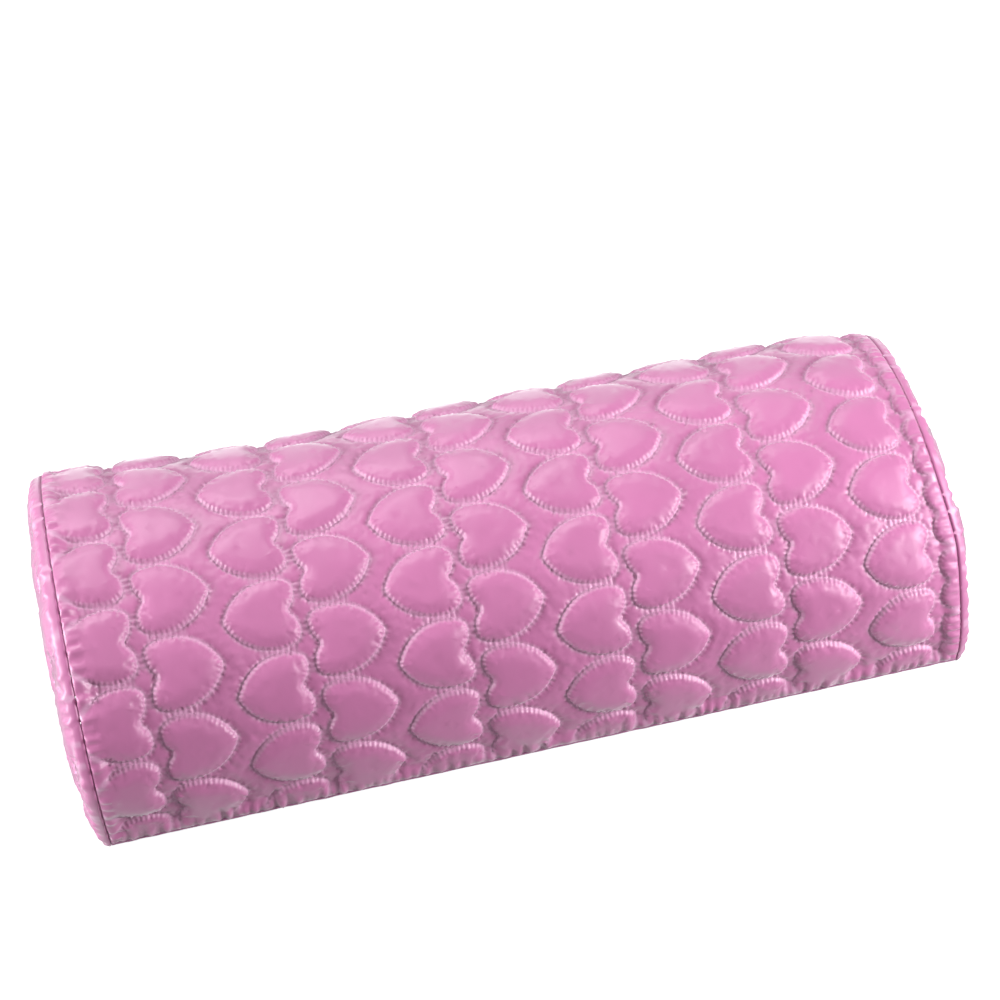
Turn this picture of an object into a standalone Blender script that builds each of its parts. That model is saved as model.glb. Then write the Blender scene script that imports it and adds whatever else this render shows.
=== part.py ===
"""Manicure hand rest: a half-round foam cushion in a zipped satin cover quilted with hearts.

X runs along the cushion, -Y is its front, +Z is up. The origin is the middle of the base.
"""

import math

import bmesh
import bpy
import numpy as np
from mathutils import Matrix, Vector
from mathutils.geometry import delaunay_2d_cdt

MM = 0.001
COLLECTION = "manicure_hand_rest"

# Overall form
SEAM_LENGTH = 292 * MM
WIDTH = 132 * MM
HEIGHT = 64 * MM
SECTION_POWER = 2.2
CLEARANCE = 0.3 * MM

# Fabric
TOP_PANEL_THICKNESS = 1.5 * MM
END_PANEL_THICKNESS = 1.4 * MM
END_BULGE = 3.0 * MM
END_BULGE_RISE = 14 * MM
BASE_THICKNESS = 1.5 * MM
BASE_EDGE_RADIUS = 0.6 * MM
HEM_HEIGHT = 5 * MM

# Heart quilting
COLUMN_PITCH = 26.2 * MM
ROW_PITCH = 23.9 * MM
HEART_GAP_ALONG = 2.4 * MM
HEART_GAP_ACROSS = 1.2 * MM
FIRST_COLUMN = 9.0 * MM
FIRST_ROW = 12.7 * MM
HEART_PUFF = 3 * MM
HEART_SHOULDER = 6 * MM
STRIP_PUFF = 1.4 * MM
STRIP_SHOULDER = 3 * MM
SEAM_RISE = 2.4 * MM
SEAM_ROLL = 2.4 * MM
SEAM_CLEAR = 3.6 * MM
HEART_ALONG = (13, -2.4, -1.1, -0.3)
HEART_ACROSS = (1.0, -0.03)
HEART_NOTCH = (1.7, 0.18)
HEART_TIP = (0.8, 0.2)
HEART_POINT_COUNT = 16
HEART_FINE_COUNT = 720
HEART_RING_SCALES = (0.8, 0.4)
HEART_RING_COUNTS = (16, 6)
ROW_STRIP_PLACES = ((1 / 3, 1 / 2), (-1 / 3, 1 / 2))
TIP_STRIP_PLACES = ((1 / 2, 1 / 4), (1 / 2, -1 / 4))
RIM_STEP = 5.5 * MM
ARCH_STEP_COUNT = 36
MERGE_DISTANCE = 1e-7

# Zip along the rear lower edge
ZIP_HEIGHT = 11 * MM
ZIP_OPENING_TOP = 17 * MM
ZIP_END_MARGIN = 14.5 * MM
TAPE_THICKNESS = 0.6 * MM
TAPE_TUCK = 5 * MM
CHAIN_SLOT = 1.4 * MM
COIL_WIDTH = 2.0 * MM
COIL_THICKNESS = 1.6 * MM
STOP_LENGTH = 2.6 * MM
SLIDER_LENGTH = 9 * MM
SLIDER_PLATE = 0.8 * MM
SLIDER_WALL = 0.7 * MM
SLIDER_CORNER = 1.6 * MM
POST_LENGTH = 1.6 * MM
BRIDGE_OPENING = (2.6 * MM, 1.9 * MM)
BRIDGE_THICKNESS = 0.7 * MM
BRIDGE_WIDTH = 1.6 * MM
PULL_BAR = 1.0 * MM
PULL_LENGTH = 20 * MM
PULL_WIDTH = 6 * MM
PULL_THICKNESS = 1.0 * MM

# Foam
FOAM_RELIEF = 1.2 * MM


def clear_scene():
    """Remove every object that the scene starts with."""
    for thing in list(bpy.data.objects):
        bpy.data.objects.remove(thing, do_unlink=True)


def make_collection(name):
    """Make a collection and link it to the scene."""
    collection = bpy.data.collections.new(name)
    bpy.context.scene.collection.children.link(collection)
    return collection


def make_material(name, colour, roughness, metallic=0.0):
    """Make a plain Principled material."""
    material = bpy.data.materials.new(name)
    material.use_nodes = True
    shader = material.node_tree.nodes["Principled BSDF"]
    shader.inputs["Base Color"].default_value = (*colour, 1.0)
    shader.inputs["Roughness"].default_value = roughness
    shader.inputs["Metallic"].default_value = metallic
    return material


def add_object(name, mesh, collection, colour, roughness, metallic=0.0, smooth_angle=40):
    """Link a mesh as a named object with a material of its own."""
    thing = bpy.data.objects.new(name, mesh)
    collection.objects.link(thing)
    mesh.materials.append(make_material(name + "_finish", colour, roughness, metallic))
    mesh.shade_smooth()
    mesh.set_sharp_from_angle(angle=math.radians(smooth_angle))
    return thing


def close_mesh(name, shape):
    """Turn a bmesh into a mesh with its faces pointing out."""
    bmesh.ops.recalc_face_normals(shape, faces=shape.faces)
    mesh = bpy.data.meshes.new(name)
    shape.to_mesh(mesh)
    shape.free()
    return mesh


def extrude_outline(name, points, direction):
    """Extrude a closed flat outline, given as 3-D points, along a direction."""
    shape = bmesh.new()
    face = shape.faces.new([shape.verts.new(point) for point in points])
    swept = bmesh.ops.extrude_face_region(shape, geom=[face])
    moved = [item for item in swept["geom"] if isinstance(item, bmesh.types.BMVert)]
    bmesh.ops.translate(shape, verts=moved, vec=direction)
    return close_mesh(name, shape)


def rounded_rectangle(low, high, radius, steps=4):
    """Corner-rounded rectangle between two (u, v) corners, as a list of (u, v)."""
    corners = (
        (high[0] - radius, high[1] - radius, 0),
        (low[0] + radius, high[1] - radius, 90),
        (low[0] + radius, low[1] + radius, 180),
        (high[0] - radius, low[1] + radius, 270),
    )
    points = []
    for u, v, start in corners:
        for step in range(steps + 1):
            angle = math.radians(start + 90 * step / steps)
            points.append((u + radius * math.cos(angle), v + radius * math.sin(angle)))
    return points


class ArchSection:
    """The half-round section along the line of the stitches, measured by its arc length."""

    SAMPLES = 2000

    def __init__(self):
        self.half_width = WIDTH / 2 - HEART_PUFF
        self.rise = HEIGHT - HEART_PUFF
        angle = np.linspace(0, math.pi, self.SAMPLES)
        across = np.sign(np.cos(angle)) * np.abs(np.cos(angle)) ** (2 / SECTION_POWER)
        self.y = -self.half_width * across
        self.z = self.rise * np.sin(angle).clip(0) ** (2 / SECTION_POWER)
        self.arc = np.concatenate([[0], np.cumsum(np.hypot(np.diff(self.y), np.diff(self.z)))])
        self.length = float(self.arc[-1])

    def at(self, arc, depth=0.0):
        """Point (y, z) at an arc length, moved inwards by a depth."""
        y = float(np.interp(arc, self.arc, self.y))
        z = float(np.interp(arc, self.arc, self.z))
        normal = self.normal(arc)
        return y - normal[0] * depth, z - normal[1] * depth

    def normal(self, arc):
        """Outward normal (y, z) at an arc length."""
        y = float(np.interp(arc, self.arc, self.y)) / self.half_width
        z = float(np.interp(arc, self.arc, self.z)) / self.rise
        slope_y = math.copysign(abs(y) ** (SECTION_POWER - 1), y) / self.half_width
        slope_z = max(z, 0) ** (SECTION_POWER - 1) / self.rise
        size = math.hypot(slope_y, slope_z)
        return slope_y / size, slope_z / size

    def front_arc(self, height):
        """Arc length at which the front side reaches a height."""
        half = self.SAMPLES // 2
        return float(np.interp(height, self.z[:half], self.arc[:half]))

    def rear_arc(self, height):
        """Arc length at which the rear side comes down to a height."""
        return self.length - self.front_arc(height)


def heart_outline(count):
    """A plump heart about its own middle, with its notch towards +u and its tip towards -u."""
    length, width = COLUMN_PITCH - HEART_GAP_ALONG, ROW_PITCH - HEART_GAP_ACROSS
    turn = np.linspace(0, 2 * math.pi, HEART_FINE_COUNT, endpoint=False)
    along = sum(weight * np.cos((k + 1) * turn) for k, weight in enumerate(HEART_ALONG))
    across = HEART_ACROSS[0] * np.sin(turn) + HEART_ACROSS[1] * np.sin(3 * turn)
    for (depth, reach), side in ((HEART_NOTCH, along > 0), (HEART_TIP, along < 0)):
        along = along - depth * np.exp(-(across / reach) ** 2) * side
    along = (along - (along.max() + along.min()) / 2) * length / np.ptp(along)
    across = across * width / np.ptp(across)
    pick = np.arange(count) * len(turn) // count
    return np.stack([along[pick], across[pick]], axis=1)


def distances_to_segments(points, starts, ends):
    """Shortest distance from each point to any of the segments."""
    run = ends - starts
    offset = points[:, None, :] - starts[None, :, :]
    share = (offset * run).sum(-1) / np.maximum((run * run).sum(-1), 1e-18)
    nearest = starts + share.clip(0, 1)[..., None] * run
    return np.linalg.norm(points[:, None, :] - nearest, axis=-1).min(axis=1)


def inside_outlines(points, starts, ends):
    """Whether each point lies inside the closed outlines that the segments form."""
    u, v = points[:, None, 0], points[:, None, 1]
    spans = (starts[:, 1] > v) != (ends[:, 1] > v)
    rise = np.where(ends[:, 1] == starts[:, 1], 1e-18, ends[:, 1] - starts[:, 1])
    crossing = starts[:, 0] + (v - starts[:, 1]) * (ends[:, 0] - starts[:, 0]) / rise
    return (spans & (u < crossing)).sum(axis=1) % 2 == 1


def inset_outline(outline, distance):
    """Move a closed counter-clockwise outline inwards by a distance, mitring its corners."""
    before = outline - np.roll(outline, 1, axis=0)
    after = np.roll(outline, -1, axis=0) - outline
    before /= np.linalg.norm(before, axis=1, keepdims=True)
    after /= np.linalg.norm(after, axis=1, keepdims=True)
    normal_before = np.stack([-before[:, 1], before[:, 0]], axis=1)
    normal_after = np.stack([-after[:, 1], after[:, 0]], axis=1)
    mitre = (normal_before + normal_after) / (1 + (normal_before * normal_after).sum(1, keepdims=True))
    return outline + mitre * distance


class HeartQuilt:
    """Hearts stitched over a flat panel, in columns that step by half a row."""

    def __init__(self, outline, first_column, first_row, seam_rise=0.0):
        self.outline = outline
        self.seam_rise = seam_rise
        self.edge = (outline, np.roll(outline, -1, axis=0))
        low, high = outline.min(axis=0), outline.max(axis=0)
        self.hearts = []
        self.cells = []
        columns = range(math.floor((low[0] - first_column) / COLUMN_PITCH),
                        math.ceil((high[0] - first_column) / COLUMN_PITCH) + 1)
        rows = range(math.floor((low[1] - first_row) / ROW_PITCH) - 1,
                     math.ceil((high[1] - first_row) / ROW_PITCH) + 1)
        heart = heart_outline(HEART_POINT_COUNT)
        for column in columns:
            odd = column % 2
            facing = np.array([-1 if odd else 1, 1])
            for row in rows:
                middle = np.array([first_column + column * COLUMN_PITCH,
                                   first_row + (row + (0 if odd else 0.5)) * ROW_PITCH])
                self.cells.append((middle, facing))
                self.hearts.append(middle + heart * facing)
        self.starts = np.concatenate(self.hearts)
        self.ends = np.concatenate([np.roll(heart, -1, axis=0) for heart in self.hearts])

    def height(self, points):
        """How far the fabric stands above the stitch line at each point."""
        from_stitch = distances_to_segments(points, self.starts, self.ends)
        from_edge = distances_to_segments(points, *self.edge)
        in_heart = inside_outlines(points, self.starts, self.ends)
        puff = np.where(in_heart, HEART_PUFF, STRIP_PUFF)
        shoulder = np.where(in_heart, HEART_SHOULDER, STRIP_SHOULDER)
        swell = 1 - (1 - (from_stitch / shoulder).clip(0, 1)) ** 2
        roll = 1 - (1 - (from_edge / (2 * SEAM_ROLL)).clip(0, 1)) ** 2
        return self.seam_rise * (1 - roll) + puff * swell * roll

    def clear_of_seam(self, points):
        """Whether each point lies far enough inside the seam to be sewn."""
        inside = inside_outlines(points, *self.edge)
        return inside & (distances_to_segments(points, *self.edge) > SEAM_CLEAR)

    def samples(self):
        """Points on the stitches, over the puffs and along the strips, and the stitch lines."""
        rings = [heart_outline(count) * scale
                 for scale, count in zip(HEART_RING_SCALES, HEART_RING_COUNTS)]
        rings.append(np.zeros((1, 2)))
        puffs = np.concatenate(rings)
        pitches = (COLUMN_PITCH, ROW_PITCH)
        points = [inset_outline(self.outline, SEAM_ROLL)]
        stitches = []
        total = len(points[0])
        for (middle, facing), heart in zip(self.cells, self.hearts):
            sewn = self.clear_of_seam(heart)
            number = total + np.cumsum(sewn) - 1
            after = np.roll(sewn, -1)
            pairs = zip(number[sewn & after], np.roll(number, -1)[sewn & after])
            stitches += [(int(first), int(second)) for first, second in pairs]
            places = ROW_STRIP_PLACES + (TIP_STRIP_PLACES if facing[0] < 0 else ())
            strip = np.array(places) * pitches
            fill = np.concatenate([middle + puffs * facing, middle + strip])
            points += [heart[sewn], fill[self.clear_of_seam(fill)]]
            total += len(points[-1]) + len(points[-2])
        return np.concatenate(points), stitches


def quilted_panel(name, quilt, outer, inner, inner_faces):
    """A panel whose outer side is quilted and whose inner side is plain.

    outer(u, v, height) and inner(u, v) place its points, and inner_faces lists the faces of
    the inner side as runs of outline numbers.
    """
    outline = quilt.outline
    count = len(outline)
    samples, stitches = quilt.samples()
    flat = np.concatenate([outline, samples])
    rim = [(k, (k + 1) % count) for k in range(count)]
    stitches = [(count + first, count + second) for first, second in stitches]
    found, _, triangles, sources, _, _ = delaunay_2d_cdt(
        [Vector(point) for point in flat], rim + stitches, [], 0, MERGE_DISTANCE)
    places = np.array([tuple(point) for point in found])
    heights = quilt.height(places)
    on_rim = {source: k for k, group in enumerate(sources) for source in group if source < count}
    for k in on_rim.values():
        heights[k] = quilt.seam_rise
    shape = bmesh.new()
    top = [shape.verts.new(outer(*place, height)) for place, height in zip(places, heights)]
    bottom = [shape.verts.new(inner(*point)) for point in outline]
    for triangle in triangles:
        shape.faces.new([top[k] for k in triangle])
    for first, second in rim:
        shape.faces.new([top[on_rim[first]], top[on_rim[second]], bottom[second], bottom[first]])
    for run in inner_faces:
        shape.faces.new([bottom[k] for k in run])
    return close_mesh(name, shape)


def top_panel_mesh(section):
    """The quilted panel, bent over the core from the front seam to the zip."""
    low = section.front_arc(BASE_THICKNESS + CLEARANCE)
    high = section.rear_arc(ZIP_OPENING_TOP)
    half = SEAM_LENGTH / 2
    steps = max(2, round(SEAM_LENGTH / RIM_STEP))
    along = np.linspace(-half, half, steps + 1)
    around = np.linspace(low, high, ARCH_STEP_COUNT + 1)
    front = [(x, low) for x in along]
    right = [(half, arc) for arc in around[1:]]
    rear = [(x, high) for x in along[::-1][1:]]
    left = [(-half, arc) for arc in around[::-1][1:-1]]
    outline = np.array(front + right + rear + left)
    quilt = HeartQuilt(outline, FIRST_COLUMN - half, FIRST_ROW, SEAM_RISE)

    def outer(x, arc, height):
        return (x, *section.at(arc, -height))

    def inner(x, arc):
        return (x, *section.at(arc, TOP_PANEL_THICKNESS))

    corner = steps + ARCH_STEP_COUNT
    right_run = list(range(steps, corner + 1))
    left_run = [0] + list(range(len(outline) - 1, corner + steps - 1, -1))
    inner_faces = [list(range(0, steps + 1)) + [right_run[1], left_run[1]]]
    for k in range(1, ARCH_STEP_COUNT - 1):
        inner_faces.append([left_run[k], right_run[k], right_run[k + 1], left_run[k + 1]])
    inner_faces.append([left_run[-2], right_run[-2]] + list(range(corner, corner + steps + 1)))
    return quilted_panel("quilted_top_panel", quilt, outer, inner, inner_faces)


def end_panel_mesh(name, section, side):
    """A D-shaped quilted panel sewn over one end, bulged outwards by the foam."""
    half_width, rise = section.half_width + SEAM_RISE, section.rise + SEAM_RISE
    arcs = np.linspace(0, section.length, ARCH_STEP_COUNT + 1)
    arch = [section.at(arc, -SEAM_RISE) for arc in arcs[::-1]]
    steps = max(2, round(2 * half_width / RIM_STEP))
    base = [(y, 0.0) for y in np.linspace(-half_width, half_width, steps + 1)[1:-1]]
    outline = np.array(arch + base)
    quilt = HeartQuilt(outline, -COLUMN_PITCH / 2, (section.rise - ROW_PITCH) / 2)
    seat = SEAM_LENGTH / 2 + CLEARANCE

    def outer(y, z, height):
        across, up = abs(y) / half_width, max(z, 0) / rise
        spread = across ** SECTION_POWER + up ** SECTION_POWER
        foot = 1 - (1 - min(z / END_BULGE_RISE, 1)) ** 2
        bulge = END_BULGE * math.sqrt(max(1 - spread, 0)) * foot
        return (side * (seat + END_PANEL_THICKNESS + bulge + height / 2), y, z)

    def inner(y, z):
        return (side * seat, y, z)

    return quilted_panel(name, quilt, outer, inner, [list(range(len(outline)))])


def arch_band_points(section, arcs, outer_depth, inner_depth, steps=8):
    """Section (y, z) of a strip that follows the arch between two arcs and two depths."""
    stations = np.linspace(*arcs, steps + 1)
    outside = [section.at(arc, outer_depth) for arc in stations]
    inside = [section.at(arc, inner_depth) for arc in stations[::-1]]
    return outside + inside


def sweep_along(name, section_points, x_from, x_to):
    """Extrude a (y, z) section along X."""
    points = [(x_from, y, z) for y, z in section_points]
    return extrude_outline(name, points, (x_to - x_from, 0, 0))


def foam_mesh(section):
    """The half-round foam block."""
    depth = TOP_PANEL_THICKNESS + CLEARANCE
    floor = BASE_THICKNESS + CLEARANCE
    arcs = np.linspace(section.front_arc(floor), section.rear_arc(floor), ARCH_STEP_COUNT + 1)
    points = [section.at(arc, depth) for arc in arcs]
    points[0] = (points[0][0], floor)
    points[-1] = (points[-1][0], floor)
    return sweep_along("foam_core", points, -SEAM_LENGTH / 2, SEAM_LENGTH / 2)


def base_mesh(section):
    """The base panel, flat underneath and turned up at the rear as the hem of the zip."""
    half = section.half_width
    hem_depth = TOP_PANEL_THICKNESS
    low = section.rear_arc(BASE_EDGE_RADIUS)
    turned = section.rear_arc(BASE_THICKNESS)
    high = section.rear_arc(HEM_HEIGHT)
    outside = [section.at(arc) for arc in np.linspace(low, high, 6)]
    inside = [section.at(arc, hem_depth) for arc in np.linspace(high, turned, 5)]
    rounding = [
        (BASE_EDGE_RADIUS * (1 - math.sin(turn)), BASE_EDGE_RADIUS * (1 - math.cos(turn)))
        for turn in np.linspace(0, math.pi / 2, 4)
    ]
    front_half = half + SEAM_RISE
    front = [(-front_half, BASE_THICKNESS)]
    front += [(-front_half + inset, rise) for inset, rise in rounding[::-1]]
    rear = [(half - inset, rise) for inset, rise in rounding[:-1]]
    points = front + rear + outside + inside
    return sweep_along("base_panel", points, -SEAM_LENGTH / 2, SEAM_LENGTH / 2)


class Zip:
    """The closed zip, laid on the arch along the rear lower edge."""

    def __init__(self, section):
        self.section = section
        self.middle = section.rear_arc(ZIP_HEIGHT)
        self.face_depth = TOP_PANEL_THICKNESS + CLEARANCE
        self.half_chain = CHAIN_SLOT / 2 + COIL_WIDTH
        self.stop_x = SEAM_LENGTH / 2 - ZIP_END_MARGIN
        self.coil_end = self.stop_x - STOP_LENGTH / 2 - CLEARANCE
        self.slider_x = self.coil_end - SLIDER_LENGTH / 2
        self.travel = 2 * self.slider_x

    def tape_arcs(self, upper):
        """The arcs that one tape covers, from the slot to its tucked edge."""
        if upper:
            return (self.section.rear_arc(ZIP_OPENING_TOP) - TAPE_TUCK, self.middle - CHAIN_SLOT / 2)
        return (self.middle + CHAIN_SLOT / 2, self.section.rear_arc(BASE_THICKNESS + 2 * CLEARANCE))

    def tape_mesh(self, name, upper):
        """One woven tape, from end panel to end panel."""
        points = arch_band_points(
            self.section, self.tape_arcs(upper), self.face_depth, self.face_depth + TAPE_THICKNESS)
        half = SEAM_LENGTH / 2 - CLEARANCE
        return sweep_along(name, points, -half, half)

    def row_points(self, upper):
        """Section of one row of the coil, lying on its tape."""
        side = -1 if upper else 1
        near = self.middle + side * CHAIN_SLOT / 2
        far = near + side * COIL_WIDTH
        lower_depth = self.face_depth - CLEARANCE
        return arch_band_points(self.section, (near, far), lower_depth - COIL_THICKNESS, lower_depth, 2)

    def coil_mesh(self, name, upper):
        """One row of the coil between the stops."""
        return sweep_along(name, self.row_points(upper), -self.coil_end, self.coil_end)

    def top_stop_mesh(self, name, upper):
        """The stop at the closed end of one row."""
        half = STOP_LENGTH / 2
        return sweep_along(name, self.row_points(upper), self.stop_x - half, self.stop_x + half)

    def bottom_stop_mesh(self):
        """The stop that joins both rows at the open end."""
        half = STOP_LENGTH / 2
        arcs = (self.middle - self.half_chain, self.middle + self.half_chain)
        lower_depth = self.face_depth - CLEARANCE
        points = arch_band_points(self.section, arcs, lower_depth - COIL_THICKNESS, lower_depth, 4)
        return sweep_along("zip_bottom_stop", points, -self.stop_x - half, -self.stop_x + half)

    def frame(self, collection):
        """Empty on the tape's face at the slider, with +Z out of the tape and +X along it."""
        empty = bpy.data.objects.new("zip_frame", None)
        collection.objects.link(empty)
        empty.location = (self.slider_x, *self.section.at(self.middle, self.face_depth))
        normal = self.section.normal(self.middle)
        empty.rotation_euler = (-math.atan2(normal[0], normal[1]), 0, 0)
        return empty


def box_mesh(name, low, high):
    """A box between two corners."""
    shape = bmesh.new()
    size = Vector(high) - Vector(low)
    place = Matrix.Translation((Vector(low) + Vector(high)) / 2) @ Matrix.Diagonal((*size, 1))
    bmesh.ops.create_cube(shape, size=1, matrix=place)
    return close_mesh(name, shape)


def bridge_mesh(floor):
    """The slider's bridge, an arch over the pull's bar."""
    half, rise = BRIDGE_OPENING[0] / 2, BRIDGE_OPENING[1]
    over = BRIDGE_THICKNESS
    turns = np.linspace(0, math.pi, 7)
    corner = half / 2

    def arch(extra):
        return [((half + extra) * math.cos(turn),
                 rise - corner + (corner + extra) * math.sin(turn)) for turn in turns]

    foot = -SLIDER_PLATE / 2
    outside = [(half + over, foot)] + arch(over) + [(-half - over, foot)]
    profile = outside + [(-half, foot)] + arch(0)[::-1] + [(half, foot)]
    points = [(x, -BRIDGE_WIDTH / 2, floor + z) for x, z in profile]
    return extrude_outline("bridge_tool", points, (0, BRIDGE_WIDTH, 0))


def join_solids(body, others, operation, cutters):
    """Cut or join others into a body with live Boolean modifiers."""
    for mesh in others:
        tool = bpy.data.objects.new(mesh.name, mesh)
        cutters.objects.link(tool)
        tool.parent = body.parent
        tool.hide_render = True
        tool.display_type = "WIRE"
        change = body.modifiers.new(mesh.name, "BOOLEAN")
        change.operation = operation
        change.object = tool


def add_slider(zipper, frame, parts, cutters):
    """The slider: two plates joined by a post, side walls and a bridge."""
    half_length = SLIDER_LENGTH / 2
    half_width = zipper.half_chain + CLEARANCE + SLIDER_WALL
    roof = 2 * CLEARANCE + COIL_THICKNESS
    cellar = -TAPE_THICKNESS - 2 * CLEARANCE
    corner = (half_length, half_width)
    outline = rounded_rectangle((-half_length, -half_width), corner, SLIDER_CORNER)
    top = extrude_outline("zip_slider", [(u, v, roof) for u, v in outline], (0, 0, SLIDER_PLATE))
    slider = add_object("zip_slider", top, parts, (0.86, 0.84, 0.86), 0.32, 1.0)
    slider.parent = frame
    bottom_outline = [(u, v, cellar) for u, v in outline]
    bottom = extrude_outline("bottom_plate_tool", bottom_outline, (0, 0, -SLIDER_PLATE))
    overlap = SLIDER_PLATE / 2
    nose = half_length - SLIDER_CORNER
    post_width = CHAIN_SLOT - 2 * CLEARANCE
    post = box_mesh("post_tool", (nose - POST_LENGTH, -post_width / 2, cellar - overlap),
                    (nose, post_width / 2, roof + overlap))
    walls = []
    for side in (-1, 1):
        edges = sorted((side * (half_width - SLIDER_WALL), side * half_width))
        walls.append(box_mesh(f"wall_tool_{side + 2}", (-nose, edges[0], CLEARANCE),
                              (nose, edges[1], roof + overlap)))
    tools = [bottom, post, *walls, bridge_mesh(roof + SLIDER_PLATE)]
    join_solids(slider, tools, "UNION", cutters)
    return roof + SLIDER_PLATE


def add_pull(frame, plate_top, parts, cutters):
    """The pull tab, hung by its bar in the bridge; its origin is on the bar's axis."""
    hinge = bpy.data.objects.new("pull_hinge", None)
    parts.objects.link(hinge)
    hinge.parent = frame
    hinge.location = (0, 0, plate_top + BRIDGE_OPENING[1] / 2)
    opening_length, opening_rise = BRIDGE_OPENING
    reach = math.hypot(opening_length / 2 + BRIDGE_THICKNESS, opening_rise / 2 + BRIDGE_THICKNESS)
    eye_length = reach + CLEARANCE
    half_eye = BRIDGE_WIDTH / 2 + CLEARANCE
    half_pull = PULL_WIDTH / 2
    outline = rounded_rectangle((-PULL_LENGTH, -half_pull), (PULL_BAR / 2, half_pull), PULL_BAR / 2)
    taper_from = eye_length + PULL_BAR
    neck = half_eye + PULL_BAR
    tapered = []
    for x, y in outline:
        share = min(1, max(0, (-x - PULL_BAR) / taper_from))
        limit = neck + (half_pull - neck) * share
        tapered.append((x, math.copysign(min(abs(y), limit), y), -PULL_THICKNESS / 2))
    mesh = extrude_outline("zip_pull", tapered, (0, 0, PULL_THICKNESS))
    pull = add_object("zip_pull", mesh, parts, (0.86, 0.84, 0.86), 0.32, 1.0)
    pull.parent = hinge
    eye = box_mesh("eye_tool", (-eye_length, -half_eye, -PULL_THICKNESS),
                   (-PULL_BAR / 2, half_eye, PULL_THICKNESS))
    join_solids(pull, [eye], "DIFFERENCE", cutters)
    soften = pull.modifiers.new("soft_edges", "BEVEL")
    soften.width = PULL_THICKNESS / 5
    soften.segments = 1
    soften.limit_method = "ANGLE"
    return hinge


def add_foam(section, zipper, parts, cutters):
    """The foam core, pressed in behind the zip where its tapes and slider lie."""
    foam = add_object("foam_core", foam_mesh(section), parts, (0.93, 0.9, 0.84), 0.95)
    behind = zipper.face_depth + TAPE_THICKNESS + 2 * CLEARANCE + SLIDER_PLATE
    arcs = (zipper.tape_arcs(True)[0] - FOAM_RELIEF, section.length + FOAM_RELIEF)
    points = arch_band_points(section, arcs, -FOAM_RELIEF, behind + CLEARANCE)
    half = SEAM_LENGTH
    join_solids(foam, [sweep_along("zip_relief_tool", points, -half, half)], "DIFFERENCE", cutters)


def build():
    """Model the hand rest."""
    clear_scene()
    parts = make_collection(COLLECTION)
    cutters = make_collection("cutters")
    pink = (0.86, 0.42, 0.66)
    pale_pink = (0.9, 0.55, 0.74)
    section = ArchSection()
    zipper = Zip(section)
    add_foam(section, zipper, parts, cutters)
    add_object("quilted_top_panel", top_panel_mesh(section), parts, pink, 0.42)
    add_object("end_panel_left", end_panel_mesh("end_panel_left", section, -1), parts, pale_pink, 0.42)
    add_object("end_panel_right", end_panel_mesh("end_panel_right", section, 1), parts, pale_pink, 0.42)
    add_object("base_panel", base_mesh(section), parts, pink, 0.6)
    for upper, name in ((True, "upper"), (False, "lower")):
        tape, coil, stop = f"zip_tape_{name}", f"zip_coil_{name}", f"zip_top_stop_{name}"
        add_object(tape, zipper.tape_mesh(tape, upper), parts, (0.83, 0.45, 0.64), 0.8)
        add_object(coil, zipper.coil_mesh(coil, upper), parts, (0.85, 0.5, 0.68), 0.35)
        add_object(stop, zipper.top_stop_mesh(stop, upper), parts, (0.86, 0.84, 0.86), 0.32, 1.0)
    add_object("zip_bottom_stop", zipper.bottom_stop_mesh(), parts, (0.86, 0.84, 0.86), 0.32, 1.0)
    frame = zipper.frame(parts)
    plate_top = add_slider(zipper, frame, parts, cutters)
    add_pull(frame, plate_top, parts, cutters)


build()
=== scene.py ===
"""Manicure hand rest: its heart-quilted satin cover, zip and foam, and the studio around it.

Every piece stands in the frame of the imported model, in metres: X runs along the cushion, -Y
is its front and +Z is up.
"""

import logging
import math
from collections.abc import Callable, Iterable, Sequence
from dataclasses import dataclass, field
from enum import Enum
from typing import Any

import bpy
import numpy as np
from mathutils import Matrix, Vector
from mathutils.geometry import delaunay_2d_cdt
from mathutils.kdtree import KDTree


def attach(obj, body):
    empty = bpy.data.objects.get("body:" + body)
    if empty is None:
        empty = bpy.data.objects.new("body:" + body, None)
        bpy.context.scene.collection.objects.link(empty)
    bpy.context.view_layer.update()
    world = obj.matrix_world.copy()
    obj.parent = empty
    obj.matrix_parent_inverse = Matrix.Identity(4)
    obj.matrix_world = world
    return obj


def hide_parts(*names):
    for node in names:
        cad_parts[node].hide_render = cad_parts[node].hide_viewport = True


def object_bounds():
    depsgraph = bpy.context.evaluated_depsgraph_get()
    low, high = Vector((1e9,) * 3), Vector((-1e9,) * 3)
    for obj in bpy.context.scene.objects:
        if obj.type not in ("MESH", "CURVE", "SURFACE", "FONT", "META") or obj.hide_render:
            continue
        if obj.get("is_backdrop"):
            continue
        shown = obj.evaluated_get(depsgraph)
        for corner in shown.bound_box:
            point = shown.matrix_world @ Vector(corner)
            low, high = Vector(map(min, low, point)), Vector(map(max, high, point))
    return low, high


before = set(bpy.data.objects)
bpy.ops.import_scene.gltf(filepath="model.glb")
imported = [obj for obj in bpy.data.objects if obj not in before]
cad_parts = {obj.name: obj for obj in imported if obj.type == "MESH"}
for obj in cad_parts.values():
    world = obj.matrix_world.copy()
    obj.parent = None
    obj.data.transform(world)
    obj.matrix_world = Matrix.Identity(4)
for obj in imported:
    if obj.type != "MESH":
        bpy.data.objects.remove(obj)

LOG = logging.getLogger("hand_rest")
MM = 0.001
HALF_LENGTH = 146 * MM
CLOTH_THICKNESS = 1.5 * MM
ZIP_OPENING = 17 * MM
FACE_DEPTH = 1.8 * MM
CLOTH_UV = "cloth"
STITCH_ATTRIBUTE = "stitch"
FAR_FROM_STITCH = 9.0

Place = Callable[[np.ndarray, np.ndarray], np.ndarray]
Level = Callable[[np.ndarray], np.ndarray]
Spot = tuple[float, float, float]


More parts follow.
